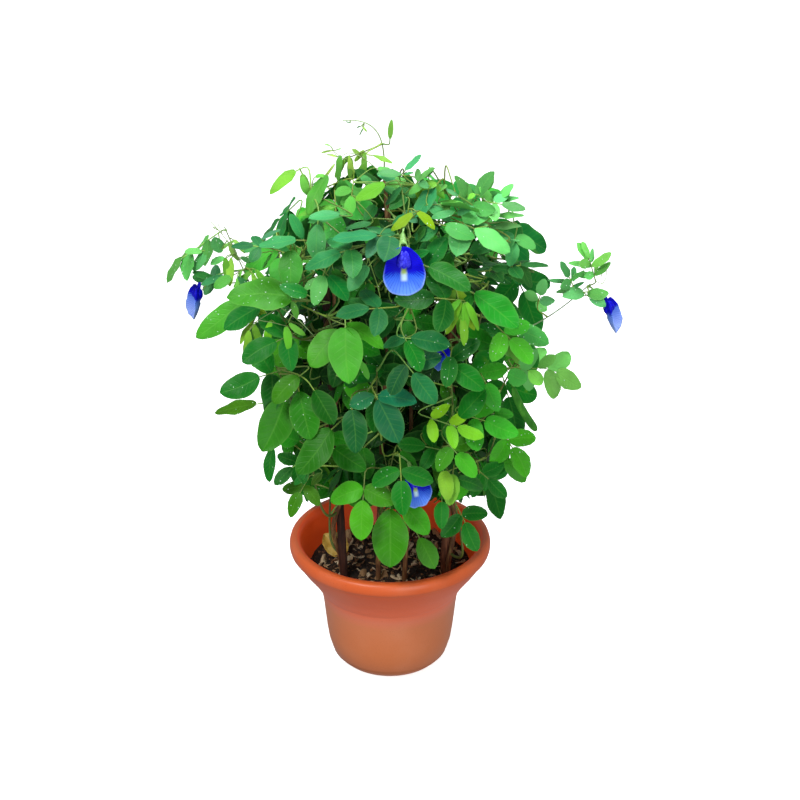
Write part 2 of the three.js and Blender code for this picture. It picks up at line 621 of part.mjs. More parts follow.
// A whole leaf as one body, with its stalk from the nearest place on its stem.
function leafSolid(leaf, stem, seed, attempt) {
  const { along, face, side, pairs, end, foot } = leafPlan(leaf, seed, attempt);
  const root = stem.places.reduce((best, place) => (
    place.distanceTo(foot) < best.distanceTo(foot) ? place : best));
  const reach = root.distanceTo(foot);
  const way = new THREE.CubicBezierCurve3(
    root, mix(root, foot, stalk.lead), sum([foot, 1], [along, -stalk.lead * reach]), foot,
  );
  const body = new ThinBody();
  const rib = [];
  const add = (place, ahead, up, half, rise) => {
    const across = up.clone().cross(ahead).normalize();
    rib.push({
      middle: body.middle(sum([place, 1], [up, rise]), sum([place, 1], [up, -rise])),
      right: body.edge(sum([place, 1], [across, -half])),
      left: body.edge(sum([place, 1], [across, half])),
    });
  };
  const steps = reach > longStalk.from ? longStalk.steps : stalk.steps;
  let [ahead, up] = [along, face];
  const rings = steps.map((step) => {
    const next = step === 1 ? along : way.getTangent(step);
    up = up.clone().applyQuaternion(new THREE.Quaternion().setFromUnitVectors(ahead, next));
    ahead = next;
    return { place: way.getPoint(step), ahead, up };
  });
  rings.reverse().forEach((ring, index) => {
    const half = index === 0 ? stalk.root : stalk.half;
    add(ring.place, ring.ahead, ring.up, half, index === 0 ? stalk.root : stalk.rise);
  });
  const joinRib = (from, to) => {
    body.face(from.middle, from.right, to.right);
    body.face(from.middle, to.right, to.middle);
    body.face(from.middle, to.middle, to.left);
    body.face(from.middle, to.left, from.left);
  };
  for (let index = 1; index < rib.length; index += 1) {
    joinRib(rib[index - 1], rib[index]);
  }
  const first = rib[0];
  body.triangles.push([first.right, first.middle, first.left]);
  body.triangles.push([first.right, first.left, body.twins.get(first.middle)]);
  let last = rib.at(-1);
  for (const { place, right, left } of pairs) {
    const spot = (ahead, hand) => body.edge(sum([place, 1], [along, ahead], [side, hand * stalk.half]));
    const here = {
      middle: body.middle(sum([place, 1], [face, stalk.rise]), sum([place, 1], [face, -stalk.rise])),
      right: spot(-leafPairs.joint, -1),
      left: spot(-leafPairs.joint, 1),
    };
    joinRib(last, here);
    const after = {
      middle: here.middle, right: spot(leafPairs.joint, -1), left: spot(leafPairs.joint, 1),
    };
    body.leaflet(right, here.middle, here.right, after.right);
    body.leaflet(left, here.middle, after.left, here.left);
    last = after;
  }
  if (pairs.length) {
    add(end.base, along, face, stalk.half, stalk.rise);
    joinRib(last, rib.at(-1));
    last = rib.at(-1);
  }
  body.leaflet(end, last.middle, last.right, last.left);
  return body.solid();
}

// Blooms: a broad banner petal that hangs from its narrow top, with the keel and wings before its throat.
function bloomAxes(bloom) {
  const out = outwardAt(radians(bloom.turn));
  const tilt = radians(bloom.tilt);
  const down = sum([upward, -Math.cos(tilt)], [out, Math.sin(tilt)]);
  const face = sum([out, Math.cos(tilt)], [upward, Math.sin(tilt)]);
  return { out, down, face, side: face.clone().cross(down) };
}

function bloomSolid(bloom) {
  const { down, face, side } = bloomAxes(bloom);
  const { length, width, thick, rim, ring, narrowing, seat } = bloomSize;
  const place = (step, angle, lift) => {
    const across = Math.sin(angle) * (1 - narrowing * Math.cos(angle));
    return sum([vec(bloom.at), 1], [down, bloom.scale * length * (0.5 - 0.5 * step * Math.cos(angle))],
      [side, (bloom.scale * width * step * across) / 2],
      [face, lift + bloom.scale * bloom.curl * (step * step * (seat + Math.sin(angle) ** 2) - seat)]);
  };
  const points = [place(0, 0, thick / 2), place(0, 0, -thick / 2)];
  for (let index = 0; index < rim; index += 1) {
    const angle = (2 * Math.PI * index) / rim;
    points.push(place(ring, angle, thick / 2), place(ring, angle, -thick / 2), place(1, angle, 0));
  }
  const triangles = [];
  for (let index = 0; index < rim; index += 1) {
    const here = 2 + 3 * index;
    const next = 2 + 3 * ((index + 1) % rim);
    triangles.push([0, next, here], [here, next, next + 2], [here, next + 2, here + 2]);
    triangles.push([1, here + 1, next + 1], [here + 1, next + 2, next + 1], [here + 1, here + 2, next + 2]);
  }
  const banner = pointedSolid(points, triangles);
  const keel = new THREE.SphereGeometry(bloom.scale, keelSize.sides, keelSize.rows);
  keel.scale(keelSize.width, keelSize.length, keelSize.height);
  keel.applyMatrix4(new THREE.Matrix4().makeBasis(side, down.clone().negate(), face));
  const centre = sum([vec(bloom.at), 1], [down, keelSize.below * bloom.scale],
    [face, keelSize.before * bloom.scale]);
  keel.translate(centre.x, centre.y, centre.z);
  return banner.add(solidOf(keel));
}

// The green calyx that holds a bloom, on its stalk from the shoot.
function calyxSolid(bloom, stem) {
  const { out, down, face } = bloomAxes(bloom);
  const slope = radians(calyx.slope);
  const axis = sum([out, Math.cos(slope)], [upward, -Math.sin(slope)]);
  const mouth = sum([vec(bloom.at), 1], [face, -calyx.behind], [down, calyx.below]);
  const foot = sum([mouth, 1], [axis, -calyx.length * bloom.scale]);
  const cup = new THREE.CylinderGeometry(
    calyx.mouth * bloom.scale, calyx.foot, calyx.length * bloom.scale, calyx.sides,
  );
  cup.applyQuaternion(new THREE.Quaternion().setFromUnitVectors(new THREE.Vector3(0, 1, 0), axis));
  const middle = mix(mouth, foot, 0.5);
  cup.translate(middle.x, middle.y, middle.z);
  const root = stem.places.reduce((best, place) => (
    place.distanceTo(foot) < best.distanceTo(foot) ? place : best));
  const bow = sum([root, 0.4], [foot, 0.6], [upward, calyx.bow]);
  const way = new THREE.CatmullRomCurve3([root, bow, foot, mix(foot, mouth, 0.4)]);
  return solidOf(cup).add(tube(way, stalk.half, 3, 4));
}

// The pod: a flat bean, bent a little, that hangs by a short stalk.
function podAxes() {
  const top = vec(pod.top);
  const tip = vec(pod.tip);
  const down = tip.clone().sub(top).normalize();
  const side = vec(podForm.across).cross(down).normalize();
  return { top, tip, down, side, face: down.clone().cross(side) };
}

function podSolid() {
  const { top, tip, down, side, face } = podAxes();
  const bean = new THREE.SphereGeometry(1, podForm.sides, podForm.sides);
  const places = bean.attributes.position;
  const half = top.distanceTo(tip) / 2;
  for (let index = 0; index < places.count; index += 1) {
    const lengthways = places.getY(index);
    const full = Math.sqrt(Math.max(0, 1 - lengthways ** podForm.bluntness));
    const round = Math.sqrt(Math.max(1e-9, 1 - lengthways ** 2));
    const spot = sum([mix(top, tip, 0.5), 1], [down, -half * lengthways],
      [side, (places.getX(index) / round) * full * (pod.width / 2) + pod.bend * lengthways ** 2],
      [face, (places.getZ(index) / round) * full * (pod.thick / 2)]);
    places.setXYZ(index, spot.x, spot.y, spot.z);
  }
  return solidOf(bean);
}

function podStalk(stem) {
  const root = stem.places.at(-3);
  const { top, down, side } = podAxes();
  const end = sum([top, 1], [down, -clearance], [side, pod.bend]);
  const way = new THREE.CatmullRomCurve3([root, sum([root, 0.4], [end, 0.6], [upward, podForm.bow]), end]);
  return tube(way, stalk.half, 3, 4);
}

function fallenLeafSolid() {
  const { at, clock, rise, length, width, arch } = fallenLeaf;
  const along = sum([new THREE.Vector3(1, 0, 0), Math.sin(radians(clock))],
    [new THREE.Vector3(0, 1, 0), Math.cos(radians(clock))], [upward, rise]).normalize();
  const face = vec(fallenFace);
  face.addScaledVector(along, -face.dot(along)).normalize();
  const { ring, top, low } = bladePoints({ base: vec(at), along, face, length, width, arch });
  const body = new ThinBody();
  const centre = body.middle(top, low);
  const loop = [vec(at), ...ring].map((point) => body.edge(point));
  loop.forEach((corner, index) => body.face(centre, corner, loop[(index + 1) % loop.length]));
  return body.solid();
}

// Radius of the crown at a height, and the back shoots with their leaves, worked out from it.
function crownRadius(height) {
  const above = Math.max(1, crown.findIndex(([level]) => level >= height));
  const [low, high] = [crown[above - 1], crown[above]];
  return low[1] + ((high[1] - low[1]) * (height - low[0])) / (high[0] - low[0]);
}

function crownPoint(turn, height, inset) {
  const out = outwardAt(radians(turn));
  const radius = crownRadius(height) - inset;
  return [radius * out.x, radius * crownDepth * out.y, height];
}

function vineAt(turn) {
  if (turn < vineTurns.right) {
    return 'right';
  }
  return turn < vineTurns.back ? 'back' : 'left';
}

function backShoots() {
  const made = {};
  backTiers.forEach((tier, level) => {
    tier.turns.forEach((turn, index) => {
      const leaves = backLeaves.slice(0, tier.leaves).map((spot, number) => [
        ...crownPoint(turn + spot.turn, tier.height + spot.rise,
          tier.inset + leafInset * (1 + (number % 2))),
        spot.clock + backSway * draw(level * 41 + index * 11 + number), 3, backSize,
        number === 1 ? 'fresh' : 'mature',
      ]);
      made[`back${level + 1}${index + 1}`] = {
        vine: vineAt(turn),
        from: tier.from,
        by: crownPoint(turn, tier.height - backRise, tier.inset + bendInset),
        to: crownPoint(turn, tier.height, tier.inset + stemInset),
        leaves,
      };
    });
  });
  return made;
}

// Everything is placed in turn. What is placed is kept with its node's name, so that a later leaf can
// be tried until it stands clear of every other node.
const nodes = {};
const placed = [];

function boxesMeet(first, second) {
  const [a, b] = [first.boundingBox(), second.boundingBox()];
  return [0, 1, 2].every((axis) => a.min[axis] < b.max[axis] + 1 && b.min[axis] < a.max[axis] + 1);
}

function isClear(solid, node) {
  return placed.every((other) => other.node === node || !boxesMeet(solid, other.solid)
    || solid.minGap(other.solid, 2 * clearance) > 0.8 * clearance);
}

function keep(node, solid, colour, roughness) {
  placed.push({ node, solid });
  if (nodes[node]) {
    nodes[node].solids.push(solid);
  } else {
    nodes[node] = { solids: [solid], colour, roughness };
  }
}

function placeWood() {
  const cuts = [];
  for (const [name, stake] of Object.entries(stakes)) {
    keep(`stake_${name}`, tube(stakeCurve(stake), stake.radius, 8, 1), colours.stake, 0.85);
    cuts.push(tube(stakeCurve(stake), stake.radius + clearance, 8, 1));
  }
  for (const [name, vine] of Object.entries(vines)) {
    const curve = vineCurve(vine);
    keep(`vine_${name}`, tube(curve, vineRadius, vineSides, vine.steps), colours.vine, 0.8);
    cuts.push(tube(curve, vineRadius + 1.2 * clearance, vineSides, vine.steps));
  }
  keep('pot', potSolid(), colours.pot, 0.45);
  keep('soil', soilSolid(cuts), colours.soil, 0.95);
  keep('fallen_leaf', fallenLeafSolid(), colours.yellowLeaf, 0.7);
}

// Places on a stem's axis where stalks may grow: its corners and the middles between them, the last a
// little short of its end.
function stemPlaces(curve, steps) {
  const corners = curve.getSpacedPoints(steps);
  const places = corners.slice(1).flatMap((corner, index) => [mix(corners[index], corner, 0.5), corner]);
  return [...places.slice(0, -1), mix(corners.at(-2), corners.at(-1), shootStem.last)];
}

function placeStems(all) {
  const curves = {};
  for (const [name, shoot] of Object.entries(all)) {
    const node = `shoot_${name}`;
    const fresh = shoot.leaves.some((leaf) => ['young', 'fresh', 'bright', 'pale'].includes(leaf[6]));
    for (let attempt = 0; attempt < maxTries && !curves[name]; attempt += 1) {
      const seed = Object.keys(all).indexOf(name) * 29 + attempt * 7;
      const bend = new THREE.Vector3(draw(seed + 1), draw(seed + 2), draw(seed + 3));
      const strength = shootStem.bend * Math.max(0, attempt - shootStem.seats.length);
      const seat = shootStem.seats[attempt] ?? 1;
      const curve = shootCurve(shoot, seat, bend.multiplyScalar(strength));
      const steps = Math.max(shootStem.fewest, Math.round(curve.getLength() / shootStem.step));
      const solid = tube(curve, shootStem.radius, shootStem.sides, steps);
      if (isClear(solid, node)) {
        curves[name] = { places: stemPlaces(curve, steps) };
        keep(node, solid, fresh ? colours.freshLeaf : colours.darkLeaf, 0.5);
      }
    }
  }
  return curves;
}

function placeLeaves(all, curves) {
  let seed = 0;
  for (const [name, shoot] of Object.entries(all)) {
    for (const leaf of shoot.leaves) {
      seed += 1;
      let done = false;
      for (let attempt = 0; attempt < maxTries && !done; attempt += 1) {
        const solid = leafSolid(leaf, curves[name], seed, attempt);
        done = isClear(solid, `shoot_${name}`);
        if (done) {
          keep(`shoot_${name}`, solid);
        }
      }
    }
  }
}

placeWood();
for (const [name, bloom] of Object.entries(blooms)) {
  keep(`bloom_${name}`, bloomSolid(bloom), colours.petal, 0.6);
}
keep('pod', podSolid(), colours.pod, 0.55);
const allShoots = { ...shoots, ...backShoots() };
const stemCurves = placeStems(allShoots);
for (const bloom of Object.values(blooms)) {
  keep(`shoot_${bloom.shoot}`, calyxSolid(bloom, stemCurves[bloom.shoot]));
}
keep(`shoot_${pod.shoot}`, podStalk(stemCurves[pod.shoot]));
placeLeaves(allShoots, stemCurves);

const plant = new THREE.Group();
for (const [name, { solids, colour, roughness }] of Object.entries(nodes)) {
  const material = new THREE.MeshStandardMaterial({ color: colour, roughness, metalness: 0 });
  const mesh = new THREE.Mesh(geometryOf(join(solids).asOriginal().simplify(finest)), material);
  mesh.name = name;
  plant.add(mesh);
}

export default plant;
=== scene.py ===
# A potted butterfly pea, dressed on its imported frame. Sizes are in millimetres until a mesh is made.
import json
import random
from math import atan2, copysign, cos, degrees, exp, hypot, log, pi, radians, sin, sqrt

import bmesh
import bpy
import numpy as np
from mathutils import Matrix, Quaternion, Vector
from mathutils.kdtree import KDTree

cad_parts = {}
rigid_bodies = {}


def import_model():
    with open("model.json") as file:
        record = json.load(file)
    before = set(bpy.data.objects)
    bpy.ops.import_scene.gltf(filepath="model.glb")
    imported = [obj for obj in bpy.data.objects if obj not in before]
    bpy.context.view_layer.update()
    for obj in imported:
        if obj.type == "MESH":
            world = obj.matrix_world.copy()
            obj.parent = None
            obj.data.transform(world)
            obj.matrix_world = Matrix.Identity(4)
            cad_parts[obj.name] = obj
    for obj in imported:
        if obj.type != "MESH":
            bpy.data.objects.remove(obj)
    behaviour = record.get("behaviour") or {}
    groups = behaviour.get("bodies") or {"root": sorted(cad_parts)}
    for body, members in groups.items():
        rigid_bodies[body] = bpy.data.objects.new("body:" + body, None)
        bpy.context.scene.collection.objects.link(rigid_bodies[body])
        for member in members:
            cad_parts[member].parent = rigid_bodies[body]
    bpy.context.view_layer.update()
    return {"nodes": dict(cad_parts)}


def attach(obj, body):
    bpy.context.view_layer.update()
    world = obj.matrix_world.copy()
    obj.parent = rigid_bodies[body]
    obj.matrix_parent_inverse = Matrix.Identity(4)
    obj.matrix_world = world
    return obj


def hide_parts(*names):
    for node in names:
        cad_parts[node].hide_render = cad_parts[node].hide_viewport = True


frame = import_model()
metre = 0.001
upward = Vector((0, 0, 1))


# Helpers
def tint(red, green, blue):  # a screen colour, 0 to 255, as Blender's linear one
    parts = (red / 255, green / 255, blue / 255)
    return tuple(part / 12.92 if part < 0.04 else ((part + 0.055) / 1.055) ** 2.4 for part in parts)


def draw(number):  # a repeatable draw from -1 to 1 for a whole number
    wave = sin(number * 12.9898) * 43758.5453
    return 2 * (wave % 1) - 1


def chanceOf(number):  # the same from 0 to 1
    return 0.5 + 0.5 * draw(number)


def held(value):  # kept between 0 and 1
    return min(1, max(0, value))


def outwardAt(turn):  # away from the pot's axis: 0 is the front, a quarter turn the right
    return Vector((sin(turn), -cos(turn), 0))


def compass(sides):  # points evenly round a circle, as shares across and deep
    return [(cos(2 * pi * side / sides), sin(2 * pi * side / sides)) for side in range(sides)]


def between(low, high, share):
    return low + (high - low) * share


def bezier(points, step):  # a point of a cubic curve
    a, b, c, d = points
    back = 1 - step
    return a * back ** 3 + b * (3 * back * back * step) + c * (3 * back * step * step) + d * step ** 3


def socketOf(sockets, name):
    for socket in sockets:
        if socket.identifier == name:
            return socket
    return sockets[name]


def add(tree, kind, inputs=None, **settings):  # a node with its settings, and its sockets linked or set
    made = tree.nodes.new(kind)
    for name, value in settings.items():
        setattr(made, name, value)
    for name, value in (inputs or {}).items():
        socket = made.inputs[name] if isinstance(name, int) else socketOf(made.inputs, name)
        if isinstance(value, bpy.types.NodeSocket):
            tree.links.new(value, socket)
        else:
            socket.default_value = value
    return made


def geo(tree, kind, inputs=None, **settings):  # a geometry node, by its first output
    return add(tree, "GeometryNode" + kind, inputs, **settings).outputs[0]


def follow(kind, inputs, **settings):  # a node in the tree of the sockets that it is linked to
    tree = next(value.id_data for value in inputs.values() if isinstance(value, bpy.types.NodeSocket))
    return add(tree, kind, inputs, **settings)


def maths(operation, *values):
    return follow("ShaderNodeMath", dict(enumerate(values)), operation=operation).outputs[0]


def chained(operation, first, others):
    for other in others:
        first = maths(operation, first, other)
    return first


def times(first, *others):
    return chained("MULTIPLY", first, others)


def plus(first, *others):
    return chained("ADD", first, others)


def minus(first, *others):
    return chained("SUBTRACT", first, others)


def apart(value, middle):
    return maths("ABSOLUTE", minus(value, middle))


def vectors(operation, first, second=(0, 0, 0)):
    made = follow("ShaderNodeVectorMath", {0: first, "Scale" if operation == "SCALE" else 1: second},
                  operation=operation)
    return made.outputs["Value"] if operation in ("LENGTH", "DOT_PRODUCT") else made.outputs[0]


def partsOf(vector):
    return follow("ShaderNodeSeparateXYZ", {0: vector}).outputs


def newObject(name, data):
    made = bpy.data.objects.new(name, data)
    bpy.context.scene.collection.objects.link(made)
    return made


def turnOutwards(mesh):
    work = bmesh.new()
    work.from_mesh(mesh)
    bmesh.ops.recalc_face_normals(work, faces=work.faces)
    work.to_mesh(mesh)
    work.free()


def meshPiece(name, points, faces, smooth=True, sharp=None, outwards=False):  # points in millimetres
    mesh = bpy.data.meshes.new(name)
    mesh.from_pydata([(x * metre, y * metre, z * metre) for x, y, z in points], [], faces)
    mesh.update()
    if smooth:
        mesh.shade_smooth()
    if sharp:
        layer = mesh.attributes.new("sharp_edge", "BOOLEAN", "EDGE")
        for edge in mesh.edges:
            layer.data[edge.index].value = sharp(*edge.vertices)
    if outwards:
        turnOutwards(mesh)
    return newObject(name, mesh)


def ringFaces(rings, sides, downward=False):  # closes rings of points between a first and a last single point
    faces, last = [], 1 + (rings - 1) * sides
    for side in range(sides):
        after = (side + 1) % sides
        faces.append((0, 1 + after, 1 + side))
        faces += [(a + side, a + after, a + sides + after, a + sides + side) for a in range(1, last, sides)]
        faces.append((last + side, last + after, last + sides))
    return [(face[0], *face[:0:-1]) for face in faces] if downward else faces


def attribute(mesh, name, kind, values, domain="POINT"):
    layer = mesh.attributes.new(name, kind, domain)
    field = {"FLOAT_VECTOR": "vector", "FLOAT_COLOR": "color"}.get(kind, "value")
    number = {"INT": np.int32, "BOOLEAN": bool}.get(kind, np.float32)
    layer.data.foreach_set(field, np.asarray(values, dtype=number).ravel())


def uvMap(mesh, name, places):  # one place on the map for each vertex
    layer = mesh.uv_layers.new(name=name)
    flat = [part for loop in mesh.loops for part in places[loop.vertex_index]]
    layer.data.foreach_set("uv", flat)


def place(piece, slot, *nodes):  # the piece rides on the pot's body and stands for these CAD nodes
    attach(piece, "root")
    if nodes:
        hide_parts(*nodes)


def dress(piece, skin, slot, *nodes):
    piece.data.materials.append(skin)
    place(piece, slot, *nodes)


def settle(piece):  # turns a piece's live nodes into its plain mesh
    bpy.context.view_layer.update()
    made = bpy.data.meshes.new_from_object(piece.evaluated_get(bpy.context.evaluated_depsgraph_get()))
    made.name = piece.name
    piece.modifiers.clear()
    piece.data = made


def nodesTree(name, inputs):  # a geometry tree with its named inputs, whole numbers or not, and their values
    tree = bpy.data.node_groups.new(name, "GeometryNodeTree")
    tree.interface.new_socket("Geometry", in_out="INPUT", socket_type="NodeSocketGeometry")
    for label, value in inputs.items():
        kind = "NodeSocketInt" if isinstance(value, int) else "NodeSocketFloat"
        tree.interface.new_socket(label, in_out="INPUT", socket_type=kind).default_value = value
    tree.interface.new_socket("Geometry", in_out="OUTPUT", socket_type="NodeSocketGeometry")
    return tree, tree.nodes.new("NodeGroupInput").outputs, tree.nodes.new("NodeGroupOutput").inputs


def grow(piece, tree, **values):  # puts a tree on a piece with its inputs, and settles it
    modifier = piece.modifiers.new(tree.name, "NODES")
    modifier.node_group = tree
    for item in tree.interface.items_tree:
        if item.in_out == "INPUT" and item.name in values:
            modifier[item.identifier] = values[item.name]
    settle(piece)


def named(tree, name, kind="FLOAT"):
    return add(tree, "GeometryNodeInputNamedAttribute", {"Name": name}, data_type=kind).outputs["Attribute"]


def randomOf(tree, low, high, seed):  # a random number, or a random vector where the limits are vectors
    if isinstance(low, tuple):
        inputs = {"Min": low, "Max": high, "Seed": seed}
        return add(tree, "FunctionNodeRandomValue", inputs, data_type="FLOAT_VECTOR").outputs[0]
    inputs = {"Min_001": low, "Max_001": high, "Seed": seed}
    return add(tree, "FunctionNodeRandomValue", inputs, data_type="FLOAT").outputs[1]


def scatter(mesh, chosen, spread, density, seed):  # random points over the chosen faces, kept apart
    inputs = {"Mesh": mesh, "Selection": chosen, "Distance Min": spread, "Density Max": density, "Seed": seed}
    return follow("GeometryNodeDistributePointsOnFaces", inputs, distribute_method="POISSON").outputs


def templates(tree, shapes):
    return geo(tree, "CollectionInfo", {"Collection": shapes, "Separate Children": True, "Reset Children": True})


def shapesOf(name, pieces):  # keeps template pieces out of the scene, in a collection of their own
    kept = bpy.data.collections.new(name)
    for piece in pieces:
        bpy.context.scene.collection.objects.unlink(piece)
        kept.objects.link(piece)
    return kept


def dropShapes(kept):
    for piece in list(kept.objects):
        bpy.data.objects.remove(piece)
    bpy.data.collections.remove(kept)


# Material helpers
def newMaterial(name, roughness, gloss=0.5):
    material = bpy.data.materials.new(name)
    material.use_nodes = True
    tree = material.node_tree
    tree.nodes.clear()
    shader = add(tree, "ShaderNodeBsdfPrincipled", {"Roughness": roughness, "Specular IOR Level": gloss})
    add(tree, "ShaderNodeOutputMaterial", {"Surface": shader.outputs[0]})
    return material, tree, shader


def objectPoint(tree, scale=(1, 1, 1)):
    where = add(tree, "ShaderNodeTexCoord").outputs["Object"]
    return add(tree, "ShaderNodeMapping", {"Vector": where, "Scale": scale}).outputs[0]


def noise(vector, scale, detail=3.0, roughness=0.5):
    inputs = {"Vector": vector, "Scale": scale, "Detail": detail, "Roughness": roughness}
    return follow("ShaderNodeTexNoise", inputs).outputs["Fac"]


def ramp(factor, stops):  # stops: (place, screen colour)
    made = follow("ShaderNodeValToRGB", {"Fac": factor})
    line = made.color_ramp.elements
    while len(line) < len(stops):
        line.new(0.5)
    for element, (position, colour) in zip(line, stops):
        element.position = position
        element.color = (*tint(*colour), 1)
    return made.outputs["Color"]


def mixColour(factor, first, second):  # screen colours, or sockets that give a colour
    inputs = {0: factor}
    for index, value in ((6, first), (7, second)):
        inputs[index] = (*tint(*value), 1) if isinstance(value, tuple) else value
    return follow("ShaderNodeMix", inputs, data_type="RGBA").outputs[2]


def cover(base, colour, amount, share):  # lays a colour over another, as much as amount and share say
    return mixColour(times(amount, share), base, colour)


def smooth(value, low, high):  # 0 below low, 1 above high
    inputs = {"Value": value, "From Min": low, "From Max": high}
    return follow("ShaderNodeMapRange", inputs, interpolation_type="SMOOTHSTEP").outputs[0]


def fading(value, low, high):  # 1 below low, 0 above high
    return minus(1.0, smooth(value, low, high))


def wire(value, shader, name="Base Color"):
    value.id_data.links.new(value, shader.inputs[name])


def bump(shader, height, strength, distance):
    made = follow("ShaderNodeBump", {"Height": height, "Strength": strength, "Distance": distance * metre})
    wire(made.outputs[0], shader, "Normal")


def attributeOf(tree, name, output="Fac"):
    return add(tree, "ShaderNodeAttribute", attribute_name=name).outputs[output]


def mapPlace(tree, name):  # across and along the piece's own map
    return partsOf(add(tree, "ShaderNodeUVMap", uv_map=name).outputs[0])


# A skin with its colours, and its relief if any, from one noise.
def plainSkin(name, roughness, grain, stops, gloss=0.5, stretch=(1, 1, 1), relief=None, fine=None):
    material, tree, shader = newMaterial(name, roughness, gloss)
    where = objectPoint(tree, stretch)
    mottle = noise(where, *grain)
    wire(ramp(mottle, stops), shader)
    if relief:
        bump(shader, noise(where, *fine) if fine else mottle, *relief)
    return material


# Camera, floor and light
photoView = {"aim": (0, 0, 330), "distance": 1600, "rise": 23.81, "lens": 72.07, "sensor": 36,
             "shift": (0.0125, -0.03725), "frameSize": 800}
studio = {"sky": (1.0, 1.0, 1.0), "skyLight": 0.36, "floorSize": 16000, "floorDrop": -0.2, "floorGlow": 0.78,
          "lampsAim": (0, 0, 300)}
lamps = {
    "keyLamp": {"at": (-900, -1300, 2000), "size": 800, "watts": 31, "colour": (1, 0.98, 0.95)},
    "topLamp": {"at": (250, 100, 2300), "size": 1000, "watts": 34, "colour": (0.93, 0.97, 1)},
    "frontLamp": {"at": (700, -1900, 500), "size": 1100, "watts": 15, "colour": (1, 1, 1)},
}


def makeCamera():
    data = bpy.data.cameras.new("photoCamera")
    data.lens = photoView["lens"]
    data.sensor_width = photoView["sensor"]
    data.shift_x, data.shift_y = photoView["shift"]
    data.clip_end = 50
    camera = newObject("photoCamera", data)
    rise = radians(photoView["rise"])
    away = Vector((0, -cos(rise), sin(rise))) * photoView["distance"]
    camera.location = (Vector(photoView["aim"]) + away) * metre
    camera.rotation_euler = (pi / 2 - rise, 0, 0)
    bpy.context.scene.camera = camera


def seenAt(point):  # where a point shows in the photo's square frame, and how far it is from the camera
    rise, frameSize = radians(photoView["rise"]), photoView["frameSize"]
    back = Vector((0, -cos(rise), sin(rise)))
    over = Vector((0, sin(rise), cos(rise)))
    offset = Vector(point) - Vector(photoView["aim"])
    depth = photoView["distance"] - offset.dot(back)
    scale = photoView["lens"] / photoView["sensor"] * frameSize / depth
    shiftX, shiftY = photoView["shift"]
    x, y = offset.x * scale, offset.dot(over) * scale
    return frameSize * (0.5 - shiftX) + x, frameSize * (0.5 + shiftY) - y, depth


def makeStudio():
    world = bpy.data.worlds.new("studioSky")
    world.use_nodes = True
    tree = world.node_tree
    tree.nodes.clear()
    sky = add(tree, "ShaderNodeBackground", {"Color": (*studio["sky"], 1), "Strength": studio["skyLight"]})
    bright = add(tree, "ShaderNodeBackground", {"Color": (1, 1, 1, 1), "Strength": 1.0})
    path = add(tree, "ShaderNodeLightPath")
    both = add(tree, "ShaderNodeMixShader",
               {0: path.outputs["Is Camera Ray"], 1: sky.outputs[0], 2: bright.outputs[0]})
    add(tree, "ShaderNodeOutputWorld", {"Surface": both.outputs[0]})
    bpy.context.scene.world = world
    bpy.context.scene.view_settings.view_transform = "Standard"
    for name, lamp in lamps.items():
        data = bpy.data.lights.new(name, "AREA")
        data.shape = "DISK"
        data.size = lamp["size"] * metre
        data.energy = lamp["watts"]
        data.color = lamp["colour"]
        light = newObject(name, data)
        light.location = Vector(lamp["at"]) * metre
        towards = Vector(studio["lampsAim"]) - Vector(lamp["at"])
        light.rotation_euler = towards.to_track_quat("-Z", "Y").to_euler()
    half = studio["floorSize"] / 2
    corners = [(x * half, y * half, studio["floorDrop"]) for x, y in ((-1, -1), (1, -1), (1, 1), (-1, 1))]
    floor = meshPiece("studioFloor", corners, [(0, 1, 2, 3)], smooth=False)
    paper, tree, shader = newMaterial("floorPaper", 0.9)
    shader.inputs["Base Color"].default_value = (0.9, 0.9, 0.9, 1)
    shader.inputs["Emission Color"].default_value = (1, 1, 1, 1)
    shader.inputs["Emission Strength"].default_value = studio["floorGlow"]
    floor.data.materials.append(paper)
    floor.visible_diffuse = floor.visible_glossy = False


makeCamera()
makeStudio()
print("camera, floor and light are set")

# Pot
# The colours run from tan below to red-orange above, the pot's own two tones; the band from 0.55 to 0.86 is
# painted lighter, to offset the shade under the lip.
# The inner colour is the inside's own red-orange, painted brighter than it is to offset the plant's shade.
pot = {
    "sides": 112, "height": 143.0, "inner": (232, 78, 18),
    "colours": [(0.0, (196, 108, 62)), (0.25, (210, 118, 68)), (0.48, (214, 124, 80)), (0.55, (228, 124, 90)),
                (0.62, (244, 116, 76)), (0.72, (238, 108, 66)), (0.86, (222, 94, 48)), (0.93, (220, 96, 42)),
                (1.0, (224, 100, 44))],
    "outside": [(46, 0), (50, 0.4), (54, 2.5), (58.5, 7), (62.3, 14), (65.2, 24), (67, 36), (68.5, 50), (70, 65),
                (71.2, 74), (72, 78), (74, 85.4), (74.6, 87), (76, 88.6), (78, 92), (81.5, 98), (86.5, 105),
                (92.5, 113), (98, 121.5), (102, 127.6), (102.6, 129), (104.2, 130.2), (105.0, 133), (105.0, 137),
                (104, 140.5), (102.6, 142.2), (100.5, 143)],
    "inside": [(97, 143), (95, 142), (93, 139.5), (91.6, 134), (89, 121), (84, 107), (73, 86), (66, 50), (61, 10),
               (54, 6.4), (40, 6)],
    "hole": {"radius": 4.5, "ring": 32, "count": 4, "sides": 28},
}


def revolve(name, profile, sides):  # profile from the axis round to the axis, outside first
    points = [(0, 0, profile[0][1])]
    for radius, height in profile[1:-1]:
        points += [(radius * x, radius * y, height) for x, y in compass(sides)]
    points.append((0, 0, profile[-1][1]))
    return meshPiece(name, points, ringFaces(len(profile) - 2, sides))


